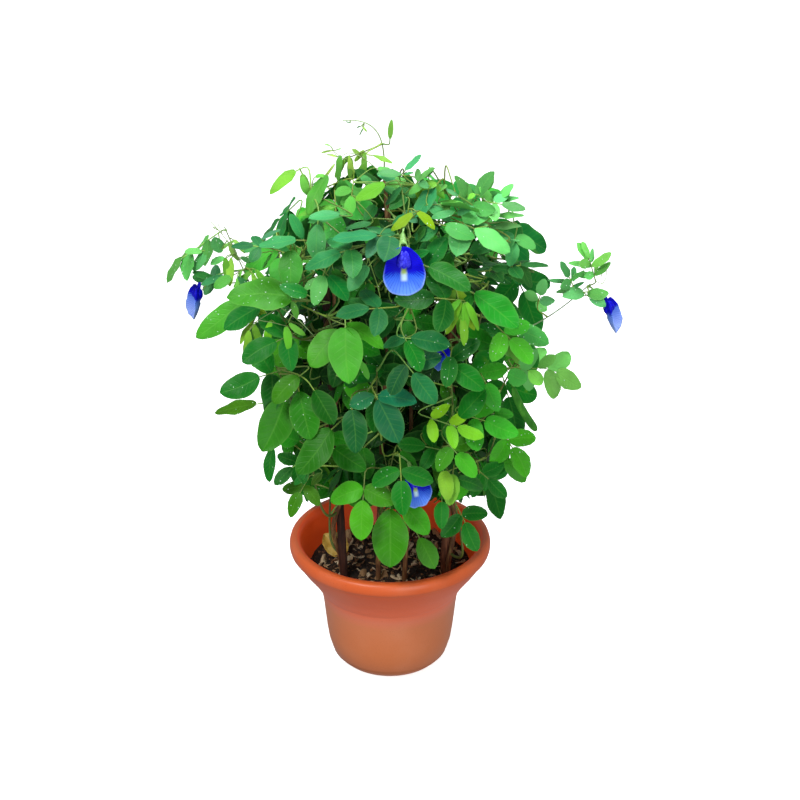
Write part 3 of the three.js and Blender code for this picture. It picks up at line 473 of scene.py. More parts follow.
def potSkin():
    material, tree, shader = newMaterial("terracottaPlastic", 0.42)
    where = objectPoint(tree)
    flat = vectors("MULTIPLY", where, (1, 1, 0))
    height = times(partsOf(where)[2], 1000.0)
    # the pot's two tones by height, with the neck band painted lighter to offset its shade
    body = ramp(maths("DIVIDE", height, pot["height"]), pot["colours"])
    broad, fine = noise(where, 22.0, 4.0), noise(where, 900.0, 2.0)
    # broad paler salmon patches laid at random over the body
    paleMottle = cover(body, (228, 150, 116), smooth(broad, 0.45, 0.75), 0.18)
    specks = cover(paleMottle, (120, 56, 32), smooth(fine, 0.58, 0.75), 0.16)
    facing = vectors("DOT_PRODUCT", add(tree, "ShaderNodeNewGeometry").outputs["Normal"], flat)
    radius = times(vectors("LENGTH", flat), 1000.0)
    # The inside of the wall: its own red-orange, painted brighter to offset shade, with a painted glow below.
    inner = times(smooth(times(facing, -12.0), 0.1, 0.5), smooth(radius, 10.0, 40.0))
    wire(cover(specks, pot["inner"], inner, 0.85), shader)
    wire(plus(times(broad, 0.22), 0.3), shader, "Roughness")
    wire(times(inner, 0.1), shader, "Emission Strength")  # painted glow: the inside shines faintly in its own colour, as painted light for the light that falls into the pot
    shader.inputs["Emission Color"].default_value = (*tint(*pot["inner"]), 1)
    rings = noise(objectPoint(tree, (0.06, 0.06, 1)), 1400.0, 2.0)
    bump(shader, plus(rings, times(fine, 0.6)), 0.16, 0.4)
    return material


def makePot():
    piece = revolve("pot_shell", [(0, 0.0)] + pot["outside"] + pot["inside"] + [(0, 6.0)], pot["sides"])
    hole = pot["hole"]
    for number in range(hole["count"]):
        middle = outwardAt(2 * pi * (number + 0.5) / hole["count"]) * hole["ring"]
        drill = revolve("potDrill", [(0, -5), (hole["radius"], -5), (hole["radius"], 12), (0, 12)], hole["sides"])
        drill.data.transform(Matrix.Translation(middle * metre))
        cut = piece.modifiers.new("drain", "BOOLEAN")
        cut.operation = "DIFFERENCE"
        cut.solver = "EXACT"
        cut.object = drill
        settle(piece)
        bpy.data.objects.remove(drill)
    piece.data.materials.clear()
    dress(piece, potSkin(), "pot", "pot")


makePot()
print("pot is made")

# Soil with its crumbs and litter
soil = {
    "rings": 46, "sides": 110, "gap": 0.5, "top": [(0, 110.2), (45, 109.2), (84.5, 107.6)],
    "wall": [(83.4, 106), (72.4, 86), (65.4, 50), (60.4, 12), (55, 8)],
    "crumb": 1.7, "seed": 5,
    "chips": {"reach": 90, "spread": 0.0034, "density": 50000.0, "smallest": 0.9, "largest": 2.1, "palest": 0.55},
    "leaves": {"reach": 76, "spread": 0.0066, "density": 16000.0, "smallest": 3.2, "largest": 6.4,
               "darkest": 0.42, "palest": 1.1},
    "skin": {"roughness": 0.95, "grain": (260.0, 5.0, 0.65), "relief": (0.8, 1.2),
             "stops": [(0.3, (10, 6, 3)), (0.5, (26, 16, 9)), (0.62, (48, 32, 20)), (0.75, (90, 66, 44))]},
}


def soilHeight(radius, x, y):
    (r0, z0), (r1, z1), (r2, z2) = soil["top"]
    level = between(z0, z1, radius / r1) if radius < r1 else between(z1, z2, (radius - r1) / (r2 - r1))
    rough = 0.5 * sin(x * 0.31 + 1.3 * sin(y * 0.23)) + 0.5 * sin(y * 0.37 + 1.7 * sin(x * 0.19))
    fine = draw(round(x * 31 + y * 57 + 9)) * 0.5
    fade = held((84 - radius) / 6)
    return level + soil["crumb"] * (0.6 * rough + 0.5 * fine) * (0.35 + 0.65 * fade)


def litterSkin():
    material, tree, shader = newMaterial("driedLitter", 0.85)
    colour = ramp(attributeOf(tree, "shade"), [
        (0.0, (30, 19, 11)), (0.35, (74, 48, 30)), (0.6, (160, 116, 74)), (0.8, (206, 174, 128)),
        (1.0, (232, 214, 180))])
    grain = noise(objectPoint(tree), 700.0)
    wire(cover(colour, (40, 25, 15), grain, 0.5), shader)
    bump(shader, grain, 0.5, 0.4)
    return material


def litterChip(number):  # a rough chip
    points = [(0, 0, 1), (0, 0, -1)]
    for layer, (height, reach) in enumerate([(0.55, 0.8), (-0.5, 0.85)]):
        for side in range(5):
            turn = 2 * pi * (side + 0.5 * layer) / 5
            push = reach * (1 + 0.3 * draw(number * 40 + side * 3 + layer))
            points.append((push * cos(turn) * (1.1 + 0.3 * number), push * sin(turn),
                           height * (1 + 0.3 * draw(number * 9 + side))))
    faces = []
    for side in range(5):
        after = (side + 1) % 5
        a, b, c, d = 2 + side, 2 + after, 7 + side, 7 + after
        faces += [(0, a, b), (a, c, b), (b, c, d), (1, d, c)]
    return meshPiece(f"litterChip{number}", points, faces, smooth=False)


def litterCurl(number, rows=6):  # a curled bit of dry leaf or bark
    points, faces, bend = [], [], 0.7 + 0.5 * number
    for row in range(rows):
        turn = bend * (row / (rows - 1) - 0.5)
        wide = (0.5 + 0.12 * draw(number * 7 + row)) * (0.45 + sin(pi * (row + 0.7) / (rows + 0.4)))
        for side, lift in ((-1, 0), (1, 0), (1, 0.16), (-1, 0.16)):
            reach = 3 / bend + lift
            points.append((side * wide + 0.2 * row, reach * sin(turn),
                           3 / bend - reach * cos(turn) + 0.1 * draw(row + number)))
    for row in range(rows - 1):
        for side in range(4):
            a, b = 4 * row + side, 4 * row + (side + 1) % 4
            faces.append((a, a + 4, b + 4, b))
    faces += [(0, 1, 2, 3), tuple(4 * (rows - 1) + side for side in (3, 2, 1, 0))]
    return meshPiece(f"litterCurl{number}", points, faces)


def litterTree(shapes, skin):  # scatters a collection's shapes over the chosen faces
    tree, group, end = nodesTree("soilLitter", {
        "spread": 0.0035, "density": 30000.0, "smallest": 0.8, "largest": 2.2, "darkest": 0.0, "palest": 1.0,
        "seed": 1})
    spots = scatter(group["Geometry"], named(tree, "topFace", "BOOLEAN"), group["spread"], group["density"],
                    group["seed"])
    shade = randomOf(tree, group["darkest"], group["palest"], group["seed"])
    kept = geo(tree, "StoreNamedAttribute", {"Geometry": spots["Points"], "Name": "shade", "Value": shade},
               data_type="FLOAT", domain="POINT")
    lay = geo(tree, "InstanceOnPoints", {
        "Points": kept, "Instance": templates(tree, shapes), "Pick Instance": True,
        "Rotation": randomOf(tree, (-0.5, -0.5, 0), (0.5, 0.5, 6.283), 7),
        "Scale": randomOf(tree, group["smallest"], group["largest"], 11)})
    real = geo(tree, "RealizeInstances", {"Geometry": lay})
    tree.links.new(geo(tree, "SetMaterial", {"Geometry": real, "Material": skin}), end[0])
    return tree


def soilMesh(name, litterReach=0):  # the soil's body, with its faces that bear litter marked
    spokes, rings = compass(soil["sides"]), soil["rings"]
    points = [(0, 0, soilHeight(0, 0, 0))]
    for ring in range(1, rings + 1):
        radius = soil["top"][-1][0] * (ring / rings) ** 0.8
        points += [(radius * x, radius * y, soilHeight(radius, radius * x, radius * y)) for x, y in spokes]
    for radius, height in soil["wall"]:
        points += [(radius * x, radius * y, height) for x, y in spokes]
    points.append((0, 0, soil["wall"][-1][1]))
    piece = meshPiece(name, points, ringFaces(rings + len(soil["wall"]), soil["sides"], downward=True))
    bears = [polygon.normal.z > 0 and polygon.center.z > 0.1
             and polygon.center.to_2d().length < litterReach * metre
             for polygon in piece.data.polygons]
    attribute(piece.data, "topFace", "BOOLEAN", bears, "FACE")
    return piece


def makeSoil():
    dress(soilMesh("soil_earth"), plainSkin("darkEarth", **soil["skin"]), "soil", "soil")
    skin = litterSkin()
    for name, maker, count in (("chips", litterChip, 4), ("leaves", litterCurl, 5)):
        shapes = shapesOf(f"litter_{name}", [maker(number) for number in range(count)])
        litter = soilMesh(f"soil_{name}", soil[name]["reach"])
        grow(litter, litterTree(shapes, skin), seed=soil["seed"], **soil[name])
        dropShapes(shapes)
        place(litter, "soil")


makeSoil()
print("soil and litter are laid")

# Stakes and climbing stems
stakes = {
    "left": {"foot": (-46, -33, 80), "head": (-62, -24, 430), "radius": 4.3,
             "bark": ("darkPost", (22, 8, 4), (52, 24, 12), (86, 48, 28), 420.0)},
    "right": {"foot": (57, -22, 80), "head": (61, -4, 440), "radius": 4.8,
              "bark": ("barkyPost", (62, 34, 20), (112, 66, 40), (160, 106, 72), 420.0)},
}
vines = {
    "left": {"stake": "left", "bottom": 90, "windFrom": 125, "top": 440, "turns": 3, "start": 200},
    "right": {"stake": "right", "bottom": 90, "windFrom": 125, "top": 450, "turns": 3, "start": 20},
    "front": {"path": [(-12, -34, 90), (-14, -38, 230), (4, -30, 400), (-5, -6, 530)]},
    "inner": {"path": [(14, -36, 90), (16, -44, 170), (26, -34, 260), (18, -16, 400)]},
    "back": {"path": [(8, 34, 90), (14, 40, 220), (-10, 34, 380), (0, 30, 500)]},
}
vineForm = {"radius": 2.6, "gap": 1, "tightening": 1.3,
            "bark": ((70, 44, 24), (122, 84, 48), (150, 130, 78), 520.0)}


def stakePoint(stake, height):
    step = (height - stake["foot"][2]) / (stake["head"][2] - stake["foot"][2])
    return Vector(stake["foot"]).lerp(Vector(stake["head"]), step)


def vinePoint(vine, step):
    if "path" in vine:
        return bezier([Vector(point) for point in vine["path"]], step)
    stake = stakes[vine["stake"]]
    height = vine["bottom"] + step * (vine["top"] - vine["bottom"])
    wound = max(0, (height - vine["windFrom"]) / (vine["top"] - vine["windFrom"]))
    turn = radians(vine["start"]) + 2 * pi * vine["turns"] * wound ** vineForm["tightening"]
    return stakePoint(stake, height) + outwardAt(turn) * (stake["radius"] + vineForm["radius"] + vineForm["gap"])


def vineTangent(vine, step):
    low, high = max(0, step - 1e-4), min(1, step + 1e-4)
    return (vinePoint(vine, high) - vinePoint(vine, low)).normalized()


def woodSkin(name, dark, middle, light, stripes):
    material, tree, shader = newMaterial(name, 0.85)
    long = noise(objectPoint(tree, (1, 1, 0.1)), stripes, 5.0, 0.6)
    patches = noise(objectPoint(tree, (1, 1, 0.5)), 45.0)
    bark = ramp(long, [(0.3, dark), (0.5, middle), (0.7, light)])
    wire(cover(bark, dark, smooth(patches, 0.45, 0.7), 0.5), shader)
    bump(shader, long, 0.9, 1.0)
    return material


def tubeAlong(tree, mesh, sides):  # a tube along loose edges, as thick as the points say
    line = geo(tree, "MeshToCurve", {"Mesh": mesh})
    ring = geo(tree, "CurvePrimitiveCircle", {"Resolution": sides, "Radius": metre})
    return geo(tree, "CurveToMesh", {"Curve": line, "Profile Curve": ring, "Scale": named(tree, "thickness"),
                                     "Fill Caps": True})


def tubeTree(name, skin, sides):  # a tube along loose edges, with rough bark
    tree, group, end = nodesTree(name, {"sides": sides, "rough": 0.25, "grain": 220.0})
    tube = tubeAlong(tree, group["Geometry"], group["sides"])
    where = vectors("MULTIPLY", geo(tree, "InputPosition"), (1, 1, 0.18))
    push = times(minus(noise(where, group["grain"], 2.0), 0.5), group["rough"], 2 * metre)
    offset = vectors("SCALE", geo(tree, "InputNormal"), push)
    moved = geo(tree, "SetPosition", {"Geometry": tube, "Offset": offset})
    even = geo(tree, "SetShadeSmooth", {"Geometry": moved, "Shade Smooth": True})
    real = geo(tree, "RealizeInstances", {"Geometry": even})
    tree.links.new(geo(tree, "SetMaterial", {"Geometry": real, "Material": skin}), end[0])
    return tree


def sketchPiece(name, points, edges):  # loose edges and points that a tree grows into a piece
    mesh = bpy.data.meshes.new(name)
    mesh.from_pydata([tuple(point * metre) for point in points], edges, [])
    return newObject(name, mesh)


def linePiece(name, line, widths):
    piece = sketchPiece(name, line, [(i, i + 1) for i in range(len(line) - 1)])
    attribute(piece.data, "thickness", "FLOAT", widths)
    return piece


def makeWood():
    steps = 90
    for side, stake in stakes.items():
        line = [Vector(stake["foot"]).lerp(Vector(stake["head"]), i / steps) for i in range(steps + 1)]
        widths = [stake["radius"] * (1 + 0.06 * sin(i * 0.9) * sin(i * 0.23 + 1)) for i in range(steps + 1)]
        widths[0], widths[-1] = 0.93 * widths[0], 0.93 * widths[-1]
        piece = linePiece(f"post_{side}", line, widths)
        grow(piece, tubeTree(f"postTube{side.title()}", woodSkin(*stake["bark"]), 16), rough=0.7, grain=300.0)
        place(piece, "stake", f"stake_{side}")
    tree = tubeTree("climbingTube", woodSkin("climbingStem", *vineForm["bark"]), 10)
    steps = 150
    for name, vine in vines.items():
        widths = []
        for i in range(steps + 1):
            knot = max(0, cos(2 * pi * i / steps * 9 + 1)) ** 24
            widths.append(vineForm["radius"] * (1.0 - 0.3 * i / steps + 0.16 * knot))
        piece = linePiece(f"climber_{name}", [vinePoint(vine, i / steps) for i in range(steps + 1)], widths)
        grow(piece, tree, rough=0.45, grain=420.0)
        place(piece, "vine", f"vine_{name}")


makeWood()
print("stakes and climbing stems stand")

# Leaves. Each kind: its leaflets' width to their length, how far they hang, how much their tips bend, how
# far the face turns up to the sky, and its colour.
usualLeaf = {"droop": 0.1, "arch": 0.12, "rise": 35}
leafKinds = {
    "bud": {"width": 0.3, "droop": 0, "arch": 0.05, "tint": (128, 186, 60)},
    "young": {"width": 0.36, "droop": 0.9, "rise": 80, "tint": (134, 190, 34)},
    "fresh": {"width": 0.62, "tint": (64, 160, 22)},
    "bright": {"width": 0.64, "arch": 0.16, "tint": (84, 188, 36)},
    "leaf": {"width": 0.62, "tint": (28, 128, 8)},
    "pale": {"width": 0.56, "droop": 0, "arch": 0.08, "tint": (98, 184, 66)},
    "mature": {"width": 0.6, "tint": (10, 106, 18)},
    "olive": {"width": 0.56, "droop": 0.25, "arch": 0.14, "rise": 50, "tint": (56, 118, 6)},
    # 'deep' leaves fill the inside of the crown; their dark tint is painted shade.
    "deep": {"width": 0.62, "droop": 0.15, "rise": 45, "tint": (5, 70, 7)},
    "old": {"width": 0.64, "arch": 0.1, "rise": 30, "tint": (52, 136, 8)},
}

# Shoots of the front and sides, as in the part: the vine, where it leaves it, the point it bends by, its
# end, and its leaves as (x, y, z, clock, leaflets, size, kind) and what they have of their own.
shoots = {
    "crownTip": ("front", "end", (0, -8, 592), (-44, -4, 586), [
        (0, -8, 570, 5, 1, 18, "bud"), (-37, -14, 554, 249, 5, 20, "young", {"droop": 1.3, "rise": 40}),
        (-16, -20, 557, 96, 1, 20, "young", {"droop": 0.1, "rise": 60})]),
    "crownLeft": ("left", 436, (-60, -14, 505), (-72, -60, 535), [
        (-87, -40, 548, 246, 1, 32, "young", {"droop": 0.3, "rise": 40, "width": 0.4}),
        (-57, -60, 550, 216, 1, 40, "fresh", {"width": 0.38}),
        (-79, -80, 496, 339, 1, 26, "mature", {"width": 0.5}),
        (-65, -95, 515, 185, 1, 32, "mature"), (-34, -75, 541, 189, 3, 18, "fresh", {"rise": 50}),
        (-45, -100, 525, 279, 1, 28, "mature", {"rise": 72}),
        (-81, -40, 545, 144, 1, 20, "young", {"droop": 0.3, "rise": 40, "width": 0.42})]),
    "crownRight": ("front", 490, (25, -20, 525), (52, -58, 535), [
        (14, -70, 558, 42, 1, 20, "pale", {"width": 0.4}), (10, -75, 555, 280, 1, 22, "pale"),
        (26, -80, 551, 45, 3, 14, "pale"), (35, -75, 550, 180, 3, 24, "young"),
        (40, -80, 545, 225, 1, 32, "mature"), (75, -70, 525, 30, 3, 28, "pale")]),
    "upRight": ("right", 430, (80, -40, 470), (88, -66, 508), [
        (86, -60, 531, 18, 3, 18, "pale", {"width": 0.48}), (94, -75, 526, 96, 3, 22, "pale", {"rise": 65}),
        (51, -90, 536, 96, 1, 36, "fresh", {"rise": 70}), (65, -95, 515, 105, 3, 38, "mature"),
        (50, -105, 517, 99, 1, 28, "mature", {"rise": 65}), (115, -70, 495, 200, 3, 22, "mature"),
        (100, -85, 495, 265, 1, 30, "mature")]),
    "bloomFront": ("front", 440, (0, -60, 490), (16, -98, 520), [
        (20, -106, 529, 252, 1, 24, "young", {"droop": 0.2, "rise": 50, "width": 0.42, "arch": 0.22}),
        (0, -115, 510, 280, 3, 40, "mature"), (-10, -115, 510, 215, 1, 22, "pale"),
        (-5, -85, 550, 255, 1, 30, "fresh"), (35, -125, 485, 105, 1, 42, "mature"),
        (24, -104, 530, 114, 1, 22, "young", {"droop": 0.2, "rise": 50, "width": 0.42, "arch": 0.22})]),
    "leftUpper": ("left", 385, (-74, -70, 430), (-84, -82, 480), [
        (-85, -95, 500, 275, 1, 34, "mature"), (-120, -70, 485, 280, 3, 20, "mature"),
        (-35, -120, 500, 260, 3, 34, "mature"), (-20, -125, 485, 225, 1, 28, "pale"),
        (-90, -95, 490, 180, 1, 36, "fresh"), (-75, -115, 455, 300, 1, 26, "mature")]),
    "bloomLeft": ("left", 370, (-122, -46, 410), (-156, -28, 490), [
        (-192, -10, 458, 231, 5, 30, "fresh", {"droop": 0.5, "width": 0.7}),
        (-170, -10, 430, 280, 3, 18, "mature"),
        (-150, -30, 460, 185, 1, 28, "young"), (-140, -40, 450, 225, 1, 20, "young"),
        (-130, -45, 450, 125, 1, 22, "young")]),
    "leftMid": ("left", 345, (-88, -70, 380), (-108, -84, 440), [
        (-146, -50, 426, 219, 1, 54, "bright", {"width": 0.44}),
        (-89, -110, 451, 285, 1, 58, "bright", {"rise": 74}), (-60, -120, 475, 200, 1, 28, "pale"),
        (-55, -120, 475, 130, 1, 28, "mature"), (-120, -80, 430, 250, 1, 40, "mature"),
        (-95, -105, 410, 250, 3, 36, "mature")]),
    "frontLeft": ("front", 350, (-40, -90, 375), (-58, -104, 432), [
        (-40, -130, 429, 177, 1, 50, "bright"), (-117, -90, 418, 240, 5, 26, "young", {"droop": 1.3, "rise": 40}),
        (-44, -128, 425, 234, 1, 42, "bright"),
        (-40, -126, 430, 105, 1, 40, "bright", {"rise": 70, "width": 0.5})]),
    "left": ("left", 290, (-90, -62, 310), (-108, -70, 365), [
        (-112, -80, 362, 258, 3, 40, "mature"), (-85, -105, 370, 240, 1, 34, "olive"),
        (-133, -20, 302, 261, 1, 44, "olive", {"rise": 75, "width": 0.44, "droop": 0}),
        (-100, -90, 338, 207, 1, 52, "leaf"), (-85, -100, 352, 162, 1, 46, "leaf"),
        (-70, -115, 360, 140, 1, 36, "leaf")]),
    "lowLeft": ("left", 210, (-76, -66, 240), (-78, -82, 305), [
        (-55, -115, 320, 235, 1, 52, "olive"), (-116, -45, 266, 180, 1, 34, "mature", {"width": 0.36}),
        (-89, -80, 267, 237, 3, 24, "mature"), (-84, -80, 242, 213, 3, 26, "olive")]),
    "lowFront": ("front", 190, (-10, -84, 220), (4, -92, 285), [
        (-25, -110, 255, 185, 3, 38, "fresh"), (0, -105, 230, 180, 1, 56, "old"),
        (10, -115, 277, 176, 3, 33, "mature"), (15, -110, 235, 130, 1, 34, "old"),
        (29, -95, 192, 145, 1, 33, "old")]),
    "frontCentre": ("inner", 380, (20, -80, 400), (18, -108, 450), [
        (15, -135, 418, 147, 1, 30, "mature"), (-10, -135, 450, 272, 3, 30, "mature"),
        (50, -125, 455, 280, 3, 36, "leaf"), (19, -133, 420, 87, 1, 36, "mature", {"rise": 60}),
        (14, -131, 420, 261, 1, 22, "mature", {"rise": 60})]),
    "frontLow": ("front", 285, (-14, -90, 310), (-12, -108, 380), [
        (-11, -130, 358, 147, 1, 44, "mature"), (-35, -125, 345, 175, 1, 40, "mature"),
        (15, -135, 395, 135, 3, 34, "mature"), (-11, -128, 360, 84, 1, 36, "mature", {"rise": 72}),
        (-15, -128, 361, 258, 1, 24, "mature", {"width": 0.7})]),
    "frontRight": ("right", 285, (60, -80, 310), (56, -100, 385), [
        (59, -122, 387, 117, 1, 34, "mature"), (65, -110, 330, 35, 1, 36, "mature"),
        (56, -115, 325, 102, 5, 26, "pale"), (58, -110, 299, 132, 3, 28, "fresh"),
        (57, -120, 395, 48, 1, 30, "mature"), (55, -124, 398, 189, 1, 28, "mature")]),
    "rightUpper": ("right", 385, (84, -60, 410), (92, -84, 460), [
        (110, -85, 475, 60, 7, 26, "mature"), (76, -115, 456, 114, 1, 50, "leaf"),
        (120, -75, 405, 105, 1, 32, "fresh"), (65, -125, 445, 170, 5, 26, "young"),
        (105, -95, 410, 130, 3, 30, "fresh"), (74, -115, 456, 243, 1, 32, "leaf")]),
    "bloomRight": ("right", 350, (138, -60, 394), (192, -22, 430), [
        (142, -40, 421, 15, 3, 16, "leaf", {"width": 0.7}),
        (173, -30, 436, 336, 3, 18, "mature", {"width": 0.66}),
        (191, -25, 453, 342, 5, 18, "fresh", {"width": 0.66}), (190, -25, 420, 80, 1, 22, "mature"),
        (185, -30, 425, 280, 1, 24, "mature")]),
    "rightMid": ("right", 310, (100, -50, 320), (122, -48, 362), [
        (155, -20, 340, 108, 5, 32, "fresh", {"droop": 0.35, "width": 0.66}), (110, -85, 370, 275, 1, 28, "leaf"),
        (90, -100, 360, 150, 1, 28, "leaf"), (100, -80, 320, 85, 1, 18, "leaf"),
        (80, -100, 325, 100, 3, 34, "leaf")]),
    "lowRight": ("right", 215, (92, -56, 230), (102, -62, 285), [
        (115, -55, 280, 150, 3, 32, "fresh"), (115, -40, 250, 135, 1, 30, "fresh"),
        (90, -80, 255, 125, 3, 25, "mature"), (65, -100, 260, 100, 1, 26, "mature")]),
    "rimRight": ("right", 150, (66, -72, 190), (60, -84, 255), [
        (50, -100, 235, 180, 1, 26, "mature"), (70, -80, 210, 150, 3, 30, "mature"),
        (50, -105, 270, 185, 1, 28, "olive"), (60, -100, 265, 190, 1, 30, "olive")]),
}

# Shoots of the back, by their tiers, and the crown that they fill.
backShoots = {
    "tiers": [(250, 170, 0, 3, (105, 150, 195, 240)), (350, 270, 0, 3, (95, 135, 180, 225, 262)),
              (450, 360, 0, 3, (110, 155, 205, 250)), (490, 420, 36, 2, (125, 180, 235))],
    "leaves": [(-13, 26, 215), (12, 6, 140), (-9, -32, 190)],
    "size": 45, "sway": 18, "rightTo": 140, "backTo": 220, "rise": 50, "bend": 54, "stem": 34, "leaf": 18,
}
crown = {
    "outline": [(100, 95), (200, 110), (300, 130), (400, 146), (450, 148), (500, 132), (550, 92), (600, 20)],
    "depth": 0.92,
}
sideBloom = {"curl": 8, "knob": 1.35, "narrowing": 0.3, "ruffle": 0.4, "gather": 0.28, "soft": 0.07,
             "blunt": 0.55, "plump": 2.1}
blooms = {
    "front": {"at": (12, -132, 507), "turn": 4, "tilt": 14, "curl": 4, "scale": 1, "shoot": "bloomFront"},
    "left": {**sideBloom, "at": (-184, -14, 426), "turn": -68, "tilt": 12, "scale": 0.76, "shoot": "bloomLeft"},
    "right": {**sideBloom, "at": (208, -20, 414), "turn": 70, "tilt": 20, "scale": 0.78, "shoot": "bloomRight"},
    "low": {"at": (22, -104, 270), "turn": 24, "tilt": 22, "curl": 4, "scale": 0.8, "shoot": "lowFront"},
    "upper": {"at": (-28, -104, 492), "turn": -64, "tilt": 10, "curl": 8, "scale": 0.6, "shoot": "bloomFront"},
    "middle": {"at": (44, -92, 398), "turn": 40, "tilt": 14, "curl": 8, "scale": 0.6, "shoot": "frontCentre"},
}
stemForm = {"radius": 1.6, "step": 22, "fewest": 6, "lead": 0.3, "last": 0.85, "seats": (0.8, 0.9, 1),
            "clear": 0.3}
leafForm = {"spread": 71, "manySpread": 58, "spacing": 0.72, "end": 0.3, "length": 0.92, "less": 0.05,
            "slim": 0.9, "foot": 0.4, "single": 0.25, "half": 0.9, "lead": 0.35, "tries": 26, "near": 0.12}


def crownRadius(height):
    outline = crown["outline"]
    above = next((i for i, (level, _) in enumerate(outline) if level >= height), len(outline) - 1)
    (z0, r0), (z1, r1) = outline[max(1, above) - 1], outline[max(1, above)]
    return between(r0, r1, (height - z0) / (z1 - z0))


def crownPoint(turn, height, inset):
    out = outwardAt(radians(turn))
    radius = crownRadius(height) - inset
    return (radius * out.x, radius * crown["depth"] * out.y, height)


def addBackShoots():
    form = backShoots
    for level, (height, start, inset, count, turns) in enumerate(form["tiers"]):
        for index, turn in enumerate(turns):
            leaves = []
            for number, (swing, rise, clock) in enumerate(form["leaves"][:count]):
                at = crownPoint(turn + swing, height + rise, inset + form["leaf"] * (1 + number % 2))
                clock += form["sway"] * draw(level * 41 + index * 11 + number)
                leaves.append((*at, clock, 3, form["size"], "fresh" if number == 1 else "mature"))
            vine = "right" if turn < form["rightTo"] else "back" if turn < form["backTo"] else "left"
            by = crownPoint(turn, height - form["rise"], inset + form["bend"])
            end = crownPoint(turn, height, inset + form["stem"])
            shoots[f"back{level + 1}{index + 1}"] = (vine, start, by, end, leaves)


def growthOf(leaf):  # as its kind grows, flatter near the top, apart from what the leaf has of its own
    kind = {**usualLeaf, **leafKinds[leaf[6]]}
    flatter = 0 if leaf[6] == "young" else 35 * held((leaf[2] - 400) / 100)
    return {**kind, "rise": kind["rise"] + flatter, **(leaf[7] if len(leaf) > 7 else {})}


def leafFrame(leaf, seed, attempt):  # where a leaf stands on its given try, the way it points and faces
    x, y, z, clock = leaf[:4]
    turn = atan2(x, -y)
    facing = growthOf(leaf).get("facing", turn - radians(60) * sin(turn))
    loose = 0.3 * attempt
    change = [draw(seed * 101 + attempt * 13 + part) for part in range(7)]
    out, right = outwardAt(facing), outwardAt(facing + pi / 2)
    angle = radians(clock + 12 * loose * change[1])
    lean = radians(15 - 20 * cos(angle) + 9 * loose * change[2])
    along = right * (sin(angle) * cos(lean)) + upward * (cos(angle) * cos(lean)) + out * sin(lean)
    rise = radians(growthOf(leaf)["rise"])
    sky = out * cos(rise) + upward * sin(rise)
    face = (sky - along * sky.dot(along)).normalized()
    face.rotate(Quaternion(along, radians(14 * draw(seed * 7 + 3) + 12 * loose * change[3])))
    at = Vector((x, y, z)) - out * (2.4 * loose * abs(change[4])) + right * (3 * loose * change[5])
    return at + upward * (3 * loose * change[6]), along, face


def leafPlan(leaf, seed, attempt):  # a leaf's leaflets, its foot and the way it points
    count, size, kindName = leaf[4:7]
    kind, form = growthOf(leaf), leafForm
    at, along, face = leafFrame(leaf, seed, attempt)
    side = face.cross(along)
    slim = form["slim"] if count > 3 else 1
    opening = form["manySpread"] if count > 3 else form["spread"]

    def leaflet(base, direction, length):
        hung = (direction - upward * kind["droop"]).normalized()
        turned = (face - hung * face.dot(hung)).normalized()
        return {"base": base, "along": hung, "face": turned, "length": length,
                "width": slim * kind["width"] * length, "arch": kind["arch"], "kind": kindName}

    leaflets, pairs = [], (count - 1) // 2
    for pair in range(pairs - 1, -1, -1):
        spot = at - along * (form["spacing"] * size * pair)
        for hand in (-1, 1):
            spread = radians(opening + 4 * draw(seed * 17 + pair * 5 + hand))
            length = size * (form["length"] - form["less"] * pair + 0.06 * draw(seed * 19 + pair * 3 + hand))
            direction = along * cos(spread) + side * (hand * sin(spread))
            leaflets.append(leaflet(spot + side * (hand * form["half"]), direction, length))
    end = at + along * (form["end"] * size if pairs else 0)
    leaflets.append(leaflet(end, along, size))
    foot = at - along * (size * (form["spacing"] * (pairs - 1) + form["foot"] if pairs else form["single"]))
    return {"leaflets": leaflets, "foot": foot, "end": end, "along": along, "face": face, "at": at}


def leafletTip(leaflet):
    return leaflet["base"] + (leaflet["along"] - leaflet["face"] * leaflet["arch"]) * leaflet["length"]


def middleOf(leaflet):
    return leaflet["base"] + leaflet["along"] * (0.5 * leaflet["length"])


def nodeTree(name):  # the corners of a CAD node, to find how the part placed its leaves
    mesh = frame["nodes"][name].data
    tree = KDTree(len(mesh.vertices))
    place = frame["nodes"][name].matrix_world
    for index, corner in enumerate(mesh.vertices):
        tree.insert(place @ corner.co / metre, index)
    tree.balance()
    return tree


def shootStart(shoot, seat):
    vineName, start, by, to, _ = shoot
    vine = vines[vineName]
    if start == "end":
        out = vineTangent(vine, 1)
        return vinePoint(vine, 1) + out * stemForm["clear"], out
    goal = Vector(by).lerp(Vector(to), 0.3)
    best = None
    for index in range(201):
        point, tangent = vinePoint(vine, index / 200), vineTangent(vine, index / 200)
        away = Vector((goal.x - point.x, goal.y - point.y, 0)).normalized()
        out = point - stakePoint(stakes[vine["stake"]], point.z) if "stake" in vine else away.copy()
        out = (out - tangent * out.dot(tangent)).normalized()
        score = abs(point.z - start) + 70 * (1 - out.dot(away))
        if best is None or score < best[0]:
            best = (score, point, out)
    return best[1] + best[2] * (seat * vineForm["radius"] + stemForm["clear"]), best[2]


def evenly(curve, steps, fine=400):  # points evenly spaced along a curve
    points = [bezier(curve, i / fine) for i in range(fine + 1)]
    lengths = [0]
    for first, second in zip(points, points[1:]):
        lengths.append(lengths[-1] + (second - first).length)
    spaced, index = [], 0
    for step in range(steps + 1):
        goal = lengths[-1] * step / steps
        while index < fine - 1 and lengths[index + 1] < goal:
            index += 1
        share = (goal - lengths[index]) / max(1e-9, lengths[index + 1] - lengths[index])
        spaced.append(points[index].lerp(points[index + 1], min(1, share)))
    return spaced, lengths[-1]


